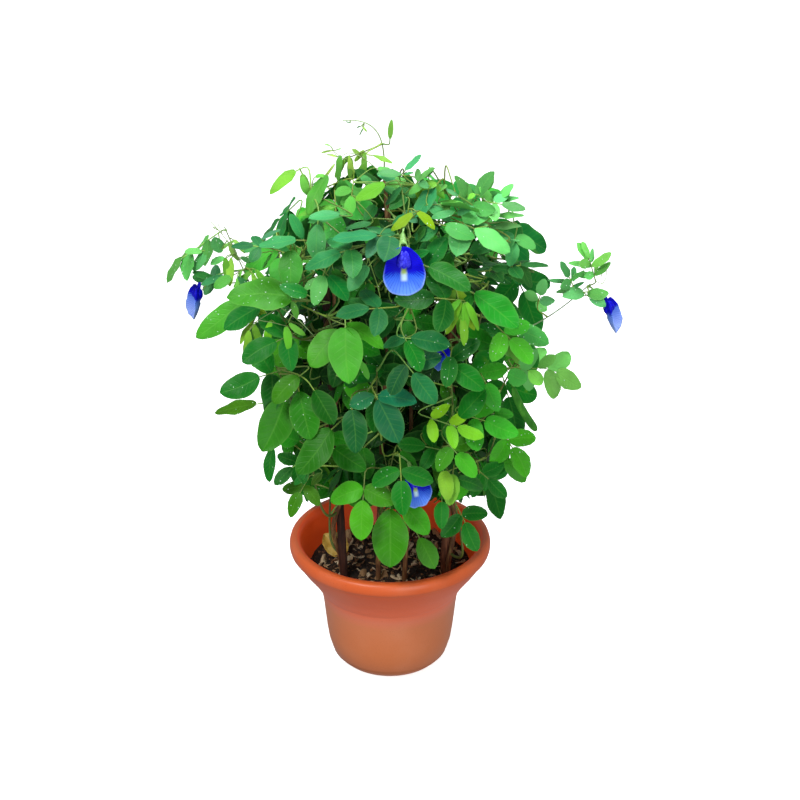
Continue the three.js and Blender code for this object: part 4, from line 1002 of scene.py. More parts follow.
def shootStem(shoot, corners):  # the stem as the part has it: its curve, and the places where stalks may grow
    best = None
    for seat in stemForm["seats"]:
        point, out = shootStart(shoot, seat)
        to = Vector(shoot[3])
        miss = abs(corners.find(point)[2] - stemForm["radius"])
        if best is None or miss < best[0]:
            best = (miss, [point, point + out * ((to - point).length * stemForm["lead"]), Vector(shoot[2]), to])
    missed, curve = best
    steps = max(stemForm["fewest"], round(evenly(curve, 1)[1] / stemForm["step"]))
    rings = evenly(curve, steps)[0]
    places = []
    for first, second in zip(rings, rings[1:]):
        places += [first.lerp(second, 0.5), second]
    places[-1] = rings[-2].lerp(rings[-1], stemForm["last"])
    return curve, places, missed


def foundLeaf(leaf, seed, corners):  # the try that the part kept, by its leaflets' tips
    best = None
    for attempt in range(leafForm["tries"]):
        plan = leafPlan(leaf, seed, attempt)
        miss = max(corners.find(leafletTip(leaflet))[2] for leaflet in plan["leaflets"])
        if best is None or miss < best[0]:
            best = (miss, plan)
        if miss < leafForm["near"]:
            break
    return best


def readPlant():
    addBackShoots()
    grown, seed, worst, worstStem = {}, 0, 0, 0
    for name, shoot in shoots.items():
        corners = nodeTree(f"shoot_{name}")
        curve, places, missed = shootStem(shoot, corners)
        worstStem = max(worstStem, missed)
        leaves = []
        for leaf in shoot[4]:
            seed += 1
            miss, plan = foundLeaf(leaf, seed, corners)
            worst = max(worst, miss)
            leaves.append(plan)
        grown[name] = {"curve": curve, "places": places, "leaves": leaves}
    print("leaves match the part within", round(worst, 3), "mm, stems within", round(worstStem, 3), "mm")
    return grown


plant = readPlant()

# Leaflets of the visual alone, as (base x, y, z, reach x, y, z, width, shade), and its finest twigs
# 'hanging' is a lime painted brighter, to offset the shade that falls on leaflets hanging under the others.
shades = {
    "hanging": (146, 250, 66), "lime": (128, 208, 50), "softLime": (122, 206, 76),
    "youngest": (176, 222, 110), "sea": (112, 196, 150), "softSea": (104, 196, 112), "teal": (50, 146, 98),
    "lightTeal": (84, 176, 126), "moss": (58, 150, 50), "seaMoss": (52, 142, 66), "dim": (20, 104, 40),
    "grassy": (92, 194, 58), "minty": (116, 206, 110), "light": (112, 200, 84), "dimOlive": (56, 104, 10),
}
leaflets = {
    "bloomLeft": [(-180, -16, 461, -16, -4, 2, 8, "softSea"),
        (-176, -16, 460, -14, -5, -16, 13, "softSea"), (-162, -18, 461, -5, -3, 16, 14, "softSea"),
        (-158, -18, 455, -14, -4, -4, 13, "softSea"), (-171, -18, 435, -18, -4, 8, 8, "dim"),
        (-159, -24, 439, -22, -5, -6, 9, "teal"), (-150, -34, 443, -18, -5, -10, 12, "moss"),
        (-156, -30, 460, 2, -6, -25, 8, "lime"), (-130, -38, 450, -20, -6, -13, 7, "lime"),
        (-127, -42, 452, 12, -4, -13, 7, "lime"), (-160, -24, 466, 12, -4, 13, 5, "youngest"),
        (-148, -28, 477, 12, -4, -11, 5, "youngest"), (-152, -28, 473, 8, -4, -16, 6, "youngest"),
        (-120, -46, 482, -17, -5, -8, 9, "teal"), (-141, -40, 464, 10, -3, -4, 7, "dim"),
        (-110, -50, 472, -10, -4, -14, 4, "moss"), (-144, -44, 446, 12, -4, -11, 8, "teal")],
    "leftUpper": [(-122, -62, 482, 32, -8, 13, 13, "teal"), (-119, -58, 488, 17, -4, 12, 7, "sea"),
        (-96, -84, 494, 12, -4, -8, 6, "softLime"), (-83, -86, 476, -18, -5, -8, 20, "moss"),
        (-82, -60, 482, -9, -8, 36, 13, "dim"), (-63, -72, 510, -10, -6, -24, 15, "dim"),
        (-39, -98, 496, -23, -6, -11, 16, "lightTeal"), (-21, -118, 485, -17, -6, -17, 13, "lightTeal"),
        (-14, -124, 448, -24, -6, 8, 12, "seaMoss"), (-60, -112, 469, -9, -5, -20, 14, "grassy"),
        (-64, -108, 467, -14, -4, -8, 9, "minty"), (-51, -112, 478, 16, -7, -23, 12, "moss"),
        (-9, -108, 510, -25, -6, 3, 8, "lightTeal"), (-42, -96, 483, -17, -6, -15, 12, "dim")],
    "crownLeft": [(-11, -60, 557, 16, -4, -4, 12, "softSea"), (-5, -72, 542, 13, -4, -6, 10, "teal"),
        (-16, -60, 542, -11, -3, 8, 10, "softSea"),
        (-80, -56, 548, 5, -5, -17, 8, "softLime"), (-68, -58, 548, 9, -2, 3, 6, "softLime"),
        (-49, -66, 522, -35, -8, 0, 7, "lime"), (-36, -62, 516, -39, -10, -5, 9, "teal"),
        (-43, -64, 520, -1, -6, 28, 15, "moss"), (-29, -68, 537, -16, -5, -10, 13, "grassy"),
        (-27, -72, 530, -19, -5, -10, 12, "minty"), (-12, -76, 526, -12, -4, -12, 12, "dim"),
        (-8, -66, 544, -23, -6, -6, 9, "softLime"), (-17, -84, 512, -24, -6, -2, 9, "teal")],
    "crownTip": [(-46, -16, 556, -6, -6, -23, 8, "softLime"), (-38, -16, 556, 2, -5, -22, 6, "youngest"),
        (-22, -16, 551, -9, -5, -17, 8, "softLime"), (-53, -14, 560, -11, -3, 1, 3.5, "youngest"),
        (-55, -14, 564, -5, -2, 4, 3.5, "youngest"), (-49, -15, 554, -9, -2, 5, 3.5, "youngest"),
        (-49, -14, 561, 3, -1, 2, 2.5, "youngest"), (-27, -12, 554, -7, -2, 8, 5, "youngest"),
        (-27, -5, 581, -4, -1, -1, 2.2, "seaMoss"), (-25, -5, 579, -4, -2, -6, 2.2, "seaMoss"),
        (-26, -5, 581, 5, -2, -4, 2.4, "youngest"), (-37, -5, 584, -4, -1, 2, 1.8, "seaMoss")],
    "crownRight": [(-4, -66, 544, 18, -4, 5, 12, "softSea"), (11, -72, 542, 13, -4, -7, 9, "teal"),
        (36, -70, 538, 15, -4, 8, 13, "softSea"), (31, -84, 534, 14, -4, -4, 10, "lightTeal"),
        (61, -84, 521, 14, -4, 9, 9, "lightTeal"),
        (13, -74, 555, 8, -2, 3, 5, "teal"), (24, -78, 550, 15, -5, 15, 11, "minty"),
        (42, -80, 548, -19, -5, -2, 8, "lime"), (31, -82, 549, -15, -4, -7, 8, "softLime"),
        (54, -84, 529, -18, -5, -5, 10, "softSea"), (62, -70, 534, -11, -3, 8, 9, "sea"),
        (45, -72, 528, 20, -5, 6, 7, "softLime"), (34, -92, 532, 21, -6, -12, 12, "teal"),
        (9, -76, 536, -14, -4, 10, 8, "lightTeal"), (5, -70, 549, -16, -4, 8, 9, "lightTeal")],
    "bloomFront": [(22, -94, 502, 20, -6, 12, 15, "teal"), (19, -92, 496, 12, -5, 18, 13, "seaMoss"),
        (-4, -80, 529, 13, -5, 19, 12, "teal"), (15, -84, 537, -16, -5, -9, 12, "seaMoss"),
        (12, -90, 525, 13, -4, -8, 11, "sea"), (2, -96, 514, 10, -4, 12, 11, "teal"),
        (27, -90, 522, 14, -4, -2, 9, "seaMoss")],
    "upRight": [(70, -62, 532, -10, -5, 20, 13, "softSea"), (94, -64, 525, -12, -5, 17, 12, "softSea"),
        (99, -62, 530, 12, -4, 14, 12, "minty"), (99, -62, 526, 18, -5, 6, 7, "softSea"),
        (94, -66, 513, 28, -7, 5, 9, "softSea"), (77, -72, 536, -7, -2, -3, 6, "lime"),
        (92, -70, 503, 27, -7, 6, 9, "sea"), (104, -70, 493, 15, -4, 0, 6, "lightTeal"),
        (100, -74, 481, 13, -4, 13, 10, "teal"), (102, -74, 477, 17, -4, -4, 9, "seaMoss"),
        (89, -88, 511, -21, -5, -4, 12, "lightTeal"), (72, -96, 498, -22, -5, -4, 8, "seaMoss"),
        (100, -80, 493, -18, -5, -10, 10, "dim"), (58, -96, 527, -21, -5, -3, 9, "teal")],
    "rightUpper": [(93, -82, 469, 20, -5, 0, 9, "dim"), (106, -80, 466, 19, -5, -10, 9, "seaMoss"),
        (121, -74, 470, 11, -6, -21, 12, "seaMoss"), (84, -86, 460, 16, -4, -4, 8, "dim"),
        (87, -86, 464, 13, -3, -1, 6, "seaMoss"), (81, -90, 465, -11, -3, 6, 7, "dim"),
        (110, -82, 397, 13, -6, -20, 13, "softLime"), (105, -84, 405, 20, -5, -6, 8, "grassy"),
        (63, -128, 455, -25, -4, -25, 7, "hanging"), (64, -128, 453, -16, -4, -30, 7, "hanging"),
        (64, -128, 452, -5, -3, -31, 8, "hanging"), (66, -128, 452, 6, -4, -32, 8, "hanging"),
        (68, -128, 453, 15, -3, -27, 7, "hanging")],
    "bloomRight": [(140, -38, 419, 10, -3, -9, 10, "lightTeal"), (193, -24, 449, 16, -5, 16, 10, "light"),
        (196, -24, 440, 13, -4, 15, 8, "moss"), (192, -24, 449, -22, -5, 6, 7, "light"),
        (194, -26, 440, -19, -4, 3, 8, "light"), (190, -24, 456, -12, -4, 18, 11, "light"),
        (170, -30, 436, -19, -4, 3, 5, "teal"), (172, -30, 436, 12, -4, 13, 5, "dim"),
        (174, -28, 428, 11, -3, 8, 5, "dim"), (174, -28, 426, -15, -4, 0, 6, "teal"),
        (192, -26, 418, 16, -4, -7, 11, "lightTeal")],
    "rightMid": [(125, -62, 359, 14, -5, 21, 17, "minty"), (133, -60, 356, 13, -4, -13, 14, "light"),
        (142, -60, 359, 15, -5, 15, 12, "minty"), (107, -66, 388, 9, -4, -13, 11, "light"),
        (113, -62, 355, 18, -5, -6, 18, "moss")],
    "frontLeft": [(-110, -98, 423, -4, -6, -26, 8, "hanging"), (-95, -110, 422, 3, -6, -23, 8, "hanging"),
        (-89, -112, 448, 6, -4, -16, 7, "softLime"), (-92, -112, 426, 15, -4, -10, 6, "softLime"),
        (-27, -128, 395, 8, -4, -16, 7, "grassy")],
    "lowLeft": [(-66, -92, 262, -10, -4, -11, 8, "dimOlive"), (-81, -88, 261, -12, -4, -12, 7, "dim")],
}
twigs = {
    "bloomLeft": [
        [(-137, -30, 450), (-146, -30, 464), (-154, -30, 477), (-161, -30, 487), (-169, -30, 496)],
        [(-161, -30, 487), (-167, -30, 490)], [(-158, -30, 484), (-162, -30, 494)],
        [(-164, -30, 490), (-159, -30, 485)]],
    "crownTip": [
        [(-46, -14, 554), (-40, -14, 558), (-32, -14, 557), (-24, -14, 552), (-16, -14, 546), (-8, -14, 537)],
        [(-27, -14, 556), (-22, -14, 550)], [(-53, -14, 560), (-50, -14, 555), (-46, -14, 554)]],
    "frontLeft": [[(-100, -112, 442), (-89, -112, 434), (-80, -112, 426), (-69, -112, 413)],
        [(-121, -104, 426), (-105, -104, 423), (-91, -104, 419), (-80, -104, 412)]],
    "bloomRight": [[(203, -24, 431), (202, -24, 438), (204, -24, 444)],
        [(204, -24, 431), (207, -24, 437), (207, -24, 447)]],
}
leafTints = {  # what single leaves of the part are tinted, counted through the shoots
    1: (160, 214, 70), 2: (158, 214, 80), 3: (160, 214, 80), 4: (122, 198, 52), 5: (70, 176, 56),
    6: (28, 116, 60), 7: (52, 150, 84), 8: (96, 190, 70), 9: (60, 154, 100), 10: (128, 200, 60),
    11: (64, 160, 116), 12: (104, 190, 132), 13: (116, 206, 136), 14: (140, 204, 36), 15: (34, 132, 86),
    16: (88, 184, 106), 17: (84, 178, 90), 18: (100, 194, 118), 19: (80, 180, 76), 20: (84, 182, 106),
    21: (36, 126, 44), 22: (56, 150, 84), 23: (30, 120, 56), 24: (156, 210, 34), 25: (50, 150, 112),
    26: (88, 178, 138), 27: (104, 194, 64), 28: (36, 134, 36), 29: (148, 204, 26), 30: (70, 164, 104),
    31: (40, 132, 84), 32: (50, 146, 90), 33: (96, 190, 120), 36: (92, 176, 78), 37: (50, 140, 90),
    41: (82, 190, 60), 42: (74, 184, 46), 47: (96, 196, 62), 49: (86, 188, 52), 50: (84, 188, 44),
    54: (44, 138, 14), 55: (44, 136, 16), 56: (24, 104, 20), 57: (34, 104, 8), 67: (42, 134, 80),
    68: (24, 120, 36), 69: (30, 128, 70), 70: (36, 130, 84), 71: (20, 112, 84), 72: (18, 104, 48),
    73: (24, 112, 66), 74: (20, 116, 92), 75: (20, 112, 84), 78: (134, 206, 36), 82: (34, 124, 56),
    84: (88, 188, 88), 85: (146, 206, 44), 88: (76, 166, 104), 89: (52, 146, 84), 90: (106, 192, 84),
    91: (54, 146, 78), 92: (86, 176, 124), 93: (128, 214, 112), 104: (146, 204, 60), 105: (154, 210, 66),
}

# Leaf blades and green stems
bladeForm = {
    "coarse": (7, 5), "fine": (17, 7), "large": 33, "thick": 0.75, "ripple": 0.03, "cup": 0.1, "fold": 0.1,
    "shapes": [{"wide": 0.46, "blunt": 0.54}, {"wide": 0.42, "blunt": 0.52}, {"wide": 0.5, "blunt": 0.58},
               {"wide": 0.4, "blunt": 0.55}, {"wide": 0.48, "blunt": 0.5}],
    # water drops are real beads, coloured near white as painted highlights for their glints
    "drop": {"roughness": 0.06, "grain": (300.0,), "stops": [(0.3, (150, 214, 160)), (0.7, (214, 240, 220))],
             "gloss": 0.9},
}


def bladeShapes():  # leaflets one wide and one long, closed, thick in the middle and thin at the rim
    made = []
    for number, shape in enumerate(bladeForm["shapes"] * 2):
        fine = number >= len(bladeForm["shapes"])
        rows, columns = bladeForm["fine" if fine else "coarse"]
        lean = log(0.5) / log(shape["wide"])  # puts the widest place where the shape says
        points, faces, places, edge, high, low = [], [], [], [], {}, {}
        for row in range(rows):
            share = row / (rows - 1)
            step = 0.5 - 0.5 * cos(pi * share)
            inner = min(max(step, 0.012), 0.985)
            half = 0.5 * sin(pi * inner ** lean) ** shape["blunt"]
            half *= 1 + (0.012 if fine else 0.03) * draw(number * 31 + row)
            for column in range(columns):
                across = 2 * column / (columns - 1) - 1
                drop = 0.03 * across * across * (share > 0.85) * (share - 0.85) / 0.15
                rim = abs(across) == 1 or row in (0, rows - 1)
                for side, kept in ((1, high), (-1, low)):
                    if rim and side == -1:
                        kept[row, column] = high[row, column]
                        continue
                    kept[row, column] = len(points)
                    lift = 0 if rim else side * 0.5 * bladeForm["thick"] * (1 - 0.5 * abs(across))
                    points.append((across * half / metre, (step - drop) / metre, lift))
                    places.append((0.5 + 0.5 * across, step))
                    edge.append(1.0 if rim else 0.0)
        for row in range(rows - 1):
            for column in range(columns - 1):
                corners = [(row, column), (row, column + 1), (row + 1, column + 1), (row + 1, column)]
                faces.append(tuple(high[key] for key in corners))
                faces.append(tuple(low[key] for key in corners[::-1]))
        blade = meshPiece(f"bladeShape{number}", points, faces, sharp=lambda i, j: edge[i] > 0.5
                          and edge[j] > 0.5)
        uvMap(blade.data, "leafMap", places)
        attribute(blade.data, "rim", "FLOAT", edge)
        attribute(blade.data, "across", "FLOAT", [2 * u - 1 for u, _ in places])
        attribute(blade.data, "lengthwise", "FLOAT", [v for _, v in places])
        attribute(blade.data, "under", "FLOAT", [float(index % 2) for index in range(len(faces))], "FACE")
        made.append(blade)
    return shapesOf("bladeShapes", made)


def bladeSkin():
    material, tree, shader = newMaterial("leafBlade", 0.42, 0.16)
    chance, under = attributeOf(tree, "chance"), attributeOf(tree, "under")
    spot = mapPlace(tree, "leafMap")
    across, along = times(apart(spot[0], 0.5), 2.0), spot[1]
    rib = fading(across, 0.01, 0.09)
    phase = minus(times(along, 8.0), times(across, 1.7))
    wave = apart(maths("FRACT", phase), 0.5)
    vein = times(fading(wave, 0.0, 0.16), fading(across, 0.55, 1.0))
    where = objectPoint(tree)
    patches, grain = noise(where, 60.0), noise(where, 1100.0, 2.0)
    shade = plus(times(patches, 0.6), 0.68)
    colour = vectors("SCALE", attributeOf(tree, "tint", "Color"), shade)
    aged = plus(times(patches, 0.6), times(chance, 0.5))
    colour = cover(colour, (150, 180, 40), smooth(aged, 0.86, 1.0), 0.4)
    colour = cover(colour, (130, 205, 90), vein, 0.05)
    colour = cover(colour, (130, 205, 80), rib, 0.12)
    colour = cover(colour, (150, 205, 90), smooth(across, 0.9, 1.0), 0.12)
    wire(cover(colour, (100, 160, 80), under, 0.25), shader)
    gloss = plus(times(grain, 0.2), times(under, 0.2))
    wire(plus(gloss, 0.32), shader, "Roughness")
    relief = plus(times(maths("MAXIMUM", rib, vein), -0.6), times(grain, 0.3))
    bump(shader, relief, 0.5, 0.35)
    return material


def greenStemSkin():
    material, tree, shader = newMaterial("greenStem", 0.5)
    long = noise(objectPoint(tree, (1, 1, 0.25)), 500.0)
    base = attributeOf(tree, "tint", "Color")
    wire(cover(base, (110, 92, 46), smooth(long, 0.4, 0.7), 0.35), shader)
    bump(shader, long, 0.5, 0.4)
    return material


def leafyTree(shapes, blade, stem):  # a shoot from its sketch: lines become stems, loose points leaflets
    tree, group, end = nodesTree("leafyShoot", {
        "dropSpread": 0.0026, "dropDensity": 14000.0, "dropSeed": 3, "stemSides": 7, "fold": bladeForm["fold"],
        "cup": bladeForm["cup"], "ripple": bladeForm["ripple"]})
    size, pointing, facing = [named(tree, name, "FLOAT_VECTOR") for name in ("size", "pointing", "facing")]
    across, along, chance = [named(tree, name) for name in ("across", "lengthwise", "chance")]
    parts = add(tree, "GeometryNodeSeparateGeometry", {
        "Geometry": group["Geometry"], "Selection": named(tree, "isStem", "BOOLEAN")}, domain="POINT").outputs
    tube = tubeAlong(tree, parts[0], group["stemSides"])
    turn = add(tree, "FunctionNodeAxesToRotation", {"Primary Axis": pointing, "Secondary Axis": facing},
               primary_axis="Y", secondary_axis="Z").outputs[0]
    lay = geo(tree, "InstanceOnPoints", {
        "Points": geo(tree, "MeshToPoints", {"Mesh": parts[1]}), "Instance": templates(tree, shapes),
        "Pick Instance": True, "Instance Index": named(tree, "shape", "INT"), "Rotation": turn, "Scale": size})
    real = geo(tree, "RealizeInstances", {"Geometry": lay})
    width, length, _ = partsOf(size)
    wide = maths("ABSOLUTE", across)
    arc = maths("SINE", times(along, pi))
    folded = times(wide, width, times(group["fold"], 0.5))
    cupped = times(wide, wide, width, times(named(tree, "curl"), group["cup"]))
    bent = times(along, along, length, named(tree, "arch"))
    beat = plus(times(along, 11.0), plus(times(chance, 20.0), times(across, 1.4)))
    waved = times(maths("SINE", beat), wide, times(length, group["ripple"], arc))
    lift = minus(plus(folded, cupped, waved), bent)
    swing = times(arc, width, times(minus(chance, 0.5), 0.2))
    sideways = vectors("SCALE", vectors("CROSS_PRODUCT", pointing, facing), swing)
    offset = vectors("ADD", vectors("SCALE", facing, lift), sideways)
    moved = geo(tree, "SetPosition", {"Geometry": real, "Offset": offset})
    damp = noise(geo(tree, "InputPosition"), 16.0, 2.0)
    wet = add(tree, "FunctionNodeCompare", {"A": minus(damp, named(tree, "under")), "B": 0.54}, data_type="FLOAT")
    beads = scatter(moved, wet.outputs[0], group["dropSpread"], group["dropDensity"], group["dropSeed"])
    drops = geo(tree, "InstanceOnPoints", {
        "Points": beads["Points"], "Instance": geo(tree, "MeshIcoSphere", {"Radius": metre, "Subdivisions": 1}),
        "Rotation": beads["Rotation"], "Scale": randomOf(tree, (0.3, 0.3, 0.2), (0.85, 0.85, 0.4), 5)})
    water = geo(tree, "RealizeInstances", {"Geometry": drops})
    both = add(tree, "GeometryNodeJoinGeometry")
    for part, skin in ((tube, stem), (moved, blade), (water, plainSkin("waterDrop", **bladeForm["drop"]))):
        tree.links.new(geo(tree, "SetMaterial", {"Geometry": part, "Material": skin}), both.inputs[0])
    tree.links.new(geo(tree, "SetShadeSmooth", {"Geometry": both.outputs[0], "Shade Smooth": True}), end[0])
    return tree


class Sketch:  # what one leafy shoot is grown from
    def __init__(self):
        self.points, self.edges, self.rows = [], [], []

    def stem(self, line, widths, colour):
        start = len(self.points)
        self.edges += [(start + i, start + i + 1) for i in range(len(line) - 1)]
        for point, width in zip(line, widths):
            self.points.append(point)
            self.rows.append({"isStem": True, "thickness": width, "tint": colour})

    def blade(self, leaflet, colour, chance, curl=0.5):
        self.points.append(leaflet["base"])
        self.rows.append({
            "tint": colour, "pointing": leaflet["along"], "facing": leaflet["face"], "chance": chance,
            "size": (leaflet["width"] * metre, leaflet["length"] * metre, 1), "arch": leaflet["arch"],
            "curl": curl, "shape": int(chance * 4.999) + (5 if leaflet["length"] > bladeForm["large"] else 0)})

    def piece(self, name):
        piece = sketchPiece(name, self.points, self.edges)
        kinds = {"isStem": ("BOOLEAN", False), "thickness": ("FLOAT", 0), "tint": ("FLOAT_COLOR", None),
                 "pointing": ("FLOAT_VECTOR", (0, 1, 0)), "facing": ("FLOAT_VECTOR", (0, 0, 1)),
                 "arch": ("FLOAT", 0),
                 "size": ("FLOAT_VECTOR", (0, 0, 0)), "curl": ("FLOAT", 0), "chance": ("FLOAT", 0),
                 "shape": ("INT", 0)}
        for label, (kind, empty) in kinds.items():
            values = [row.get(label, empty) for row in self.rows]
            values = [tuple(value) if hasattr(value, "__len__") else value for value in values]
            attribute(piece.data, label, kind, [(*value, 1) for value in values] if label == "tint" else values)
        return piece


def paintedSkyLight(colour, height):  # painted light: leaves are painted bluer high in the crown for the sky's sheen, and lighter at its top for the light from above
    share = held((height - 360) / 130)
    red, green, blue = colour
    top = held((height - 460) / 60) * held((170 - green) / 60)
    return (red + 26 * top, green * (1 + 0.06 * share + 0.2 * top), blue + 26 * share * (green - blue) / 100
            + 10 * top)


def shaded(colour, chance, spread=0.16):  # one leaf's own colour, a little lighter or darker than its kind's
    scale = 1 + spread * (2 * chance - 1)
    warm = 0.1 * draw(chance * 977)
    red, green, blue = colour
    return tint(min(255, red * scale * (1 + warm)), min(255, green * scale), min(255, blue * scale * (1 - warm)))


stalkTint, shootTint = (122, 164, 66), (100, 124, 50)
slimStems = {"crownTip": (0.5, 0.24, (138, 172, 96)), "bloomRight": (0.6, 0.34, (120, 152, 104)),
             "bloomLeft": (0.6, 0.34, (120, 152, 90))}
# Shoots in strong light are drawn lighter.
paler = {"bloomRight": 0.46, "bloomLeft": 0.22, "upRight": 0.3, "crownRight": 0.24, "crownLeft": 0.2,
         "crownTip": 0.16, "rightMid": 0.16}


def lightened(colour, share):  # towards a fresh light green
    return [between(part, light, share) for part, light in zip(colour, (140, 246, 136))]


# A leaf on its stalk, which keeps low if told.
def drawLeaf(sketch, plan, root, seed, lighter=0.0, own=None, low=False):
    foot, along, end = plan["foot"], plan["along"], plan["end"]
    reach = (foot - root).length
    way = [root, root.lerp(foot, leafForm["lead"]), foot - along * (leafForm["lead"] * reach), foot]
    way[2].z = min(way[2].z, max(root.z, foot.z) + (2 if low else 8))
    steps = max(4, round(reach / 5))
    line = [bezier(way, i / steps) for i in range(steps + 1)]
    line += [foot.lerp(end, (i + 1) / 3) for i in range(3)]
    thick = between(0.6, 0.95, min(1, plan["leaflets"][-1]["length"] / 50))
    widths = [thick * 1.5, thick * 1.15] + [thick * between(1, 0.65, i / len(line)) for i in range(2, len(line))]
    green = shaded(stalkTint, chanceOf(seed * 3 + 1), 0.2)
    sketch.stem(line, widths, green)
    for number, leaflet in enumerate(plan["leaflets"]):
        chance = chanceOf(seed * 23 + number * 7 + 2)
        grown = paintedSkyLight(leafKinds[leaflet["kind"]]["tint"], leaflet["base"].z)
        grown = lightened(toned(own, leaflet["base"].z) if own else grown, lighter)
        colour = shaded(grown, chanceOf(seed * 5 + number * 11))
        sketch.blade(leaflet, colour, chance, 0.6 * draw(seed * 13 + number * 3))


def nearest(places, point):
    return min(places, key=lambda place: (place - point).length)


def toned(colour, height):  # a colour as it is seen, held back for the strong light high up
    share = held((height - 330) / 120)
    return [part * between(0.94, 0.8, share) * weight for part, weight in zip(colour, (0.96, 1, 0.84))]


# One leaflet of the visual alone, on a stalk of its own.
def drawLeaflet(sketch, row, anchors, seed, lighter=0.0):
    base, reach, shade = Vector(row[:3]), Vector(row[3:6]), row[7]
    along = reach.normalized()
    turn = atan2(base.x, -base.y)
    rise = radians(between(38, 62, held((base.z - 380) / 120)))
    sky = outwardAt(turn - radians(60) * sin(turn)) * cos(rise) + upward * sin(rise)
    face = (sky - along * sky.dot(along)).normalized()
    face.rotate(Quaternion(along, 0.3 * draw(seed * 7)))
    bent = 0.26 if shade in ("lime", "softLime", "youngest", "hanging") else 0.1
    leaflet = {"base": base, "along": along, "face": face, "length": reach.length, "width": row[6], "arch": bent}
    root = nearest(anchors, base)
    gap = (base - root).length
    way = [root, root.lerp(base, 0.4) + upward * (0.05 * gap), base - along * (0.3 * gap), base + along]
    way[2].z = min(way[2].z, max(root.z, base.z) + 4)
    sketch.stem([bezier(way, i / 6) for i in range(7)], [between(0.6, 0.4, i / 6) for i in range(7)],
                shaded(stalkTint, 0.5, 0.2))
    grown = lightened(toned(shades[shade], base.z), lighter)
    sketch.blade(leaflet, shaded(grown, chanceOf(seed * 5)), chanceOf(seed * 23), 0.5 * draw(seed * 13))


def drawExtras(sketch, name, part):
    anchors = list(part["places"])
    for plan in part["leaves"]:
        if len(plan["leaflets"]) > 1:
            anchors += [plan["foot"], plan["at"], plan["end"]]
    for line in twigs.get(name, []):
        points = [Vector(point) for point in line]
        sketch.stem([nearest(anchors, points[0])] + points, [0.45] * 2 + [0.35] * (len(points) - 1),
                    shaded((150, 182, 112), 0.5, 0.1))
        anchors += points
    for number, row in enumerate(leaflets.get(name, [])):
        drawLeaflet(sketch, row, anchors, 3000 + 97 * len(name) + number, paler.get(name, 0.0))


# Leaves that fill the crown between the ones above, within what the photo's outline shows.
filling = {
    "tries": 9000, "most": 620, "sideTries": 3600, "sideMost": 150, "sideTurns": (28, 112),
    "sideInset": (6, 104), "seed": 11, "low": 175, "high": 540, "inset": (14, 128), "size": (24, 38),
    "apart": 11.5,
    "reach": (7, 56), "bloomRoom": 24, "heroRoom": 13, "deepFrom": 52, "loose": 430, "flat": (35, 72, 370, 500),
    "kinds": [("mature", 0.6), ("leaf", 0.2), ("olive", 0.06), ("fresh", 0.14)],
    "rows": [(165, 362, 420), (175, 306, 440), (185, 296, 505), (200, 290, 515), (215, 285, 520),
             (230, 255, 518), (245, 240, 520),
             (260, 235, 530), (275, 215, 535), (290, 215, 520), (305, 215, 502), (320, 225, 515),
             (335, 232, 525), (350, 236, 520),
             (365, 240, 515), (380, 235, 515), (395, 250, 510), (410, 256, 520), (440, 262, 525),
             (455, 268, 520), (470, 275, 520), (485, 290, 500), (503, 300, 480)],
    "bare": [(336, 290, 347, 312), (262, 382, 277, 402), (402, 404, 413, 431), (443, 299, 477, 311),
             (498, 328, 514, 382), (284, 454, 301, 472), (500, 362, 552, 446)],
}


def insideOutline(point, room=0):
    x, y, _ = seenAt(point)
    rows = filling["rows"]
    if y < rows[0][0] or y > rows[-1][0]:
        return False
    for (y0, l0, r0), (y1, l1, r1) in zip(rows, rows[1:]):
        if y <= y1:
            share = (y - y0) / (y1 - y0)
            return between(l0, l1, share) + room < x < between(r0, r1, share) - room
    return False


def fillerPlan(dice, attempt, sideways):  # a leaf somewhere in the crown by chance, and its height
    form = filling
    height, turn = dice.uniform(form["low"], form["high"]), dice.uniform(0, 360)
    inset = between(*form["inset"], dice.random() ** 1.3)
    if sideways:
        turn = copysign(between(*form["sideTurns"], turn / 360), dice.random() - 0.5)
        inset = between(*form["sideInset"], dice.random())
    if crownRadius(height) - inset < -20:
        return height, None
    at = Vector(crownPoint(turn, height, inset))
    leafletCount = dice.choices([1, 3, 5], [0.14, 0.62, 0.24])[0]
    size = dice.uniform(*form["size"]) * (0.8 if leafletCount == 5 else 1) * (0.85 if height > 470 else 1)
    kind = dice.choices([name for name, _ in form["kinds"]], [share for _, share in form["kinds"]])[0]
    clock = 180 + dice.uniform(-125, 125)
    if height > form["loose"]:  # these point away from the middle of the crown
        facing = radians(copysign(84, turn) if sideways else turn - 60 * sin(radians(turn)))
        away = at - upward * form["loose"]
        clock = degrees(atan2(away.dot(outwardAt(facing + pi / 2)), away.z)) + dice.uniform(-55, 55)
    flat, flatter, low, high = form["flat"]
    own = {"rise": between(flat, flatter, held((height - low) / (high - low)))}
    if sideways:
        own["facing"] = radians(copysign(84 + dice.uniform(-22, 16), turn))
    # leaves deep in the crown take the dark kind, painted shade for the crown's shaded inside
    elif inset > form["deepFrom"]:
        kind, size = "deep", size * 1.25
    return height, leafPlan((*at, clock, leafletCount, size, kind, own), 1000 + attempt, 3)


def staysInside(plan):  # within the crown and what the photo shows of it, and clear of the pot's rim
    tips = [leafletTip(leaflet) for leaflet in plan["leaflets"]]
    if not all(insideOutline(tip) for tip in tips + [plan["foot"]]):
        return False
    if any(hypot(tip.x, tip.y / crown["depth"]) > crownRadius(min(599, max(101, tip.z))) - 4 for tip in tips):
        return False
    return min(tip.z for tip in tips) >= 150 or all(hypot(tip.x, tip.y) <= 80 for tip in tips)


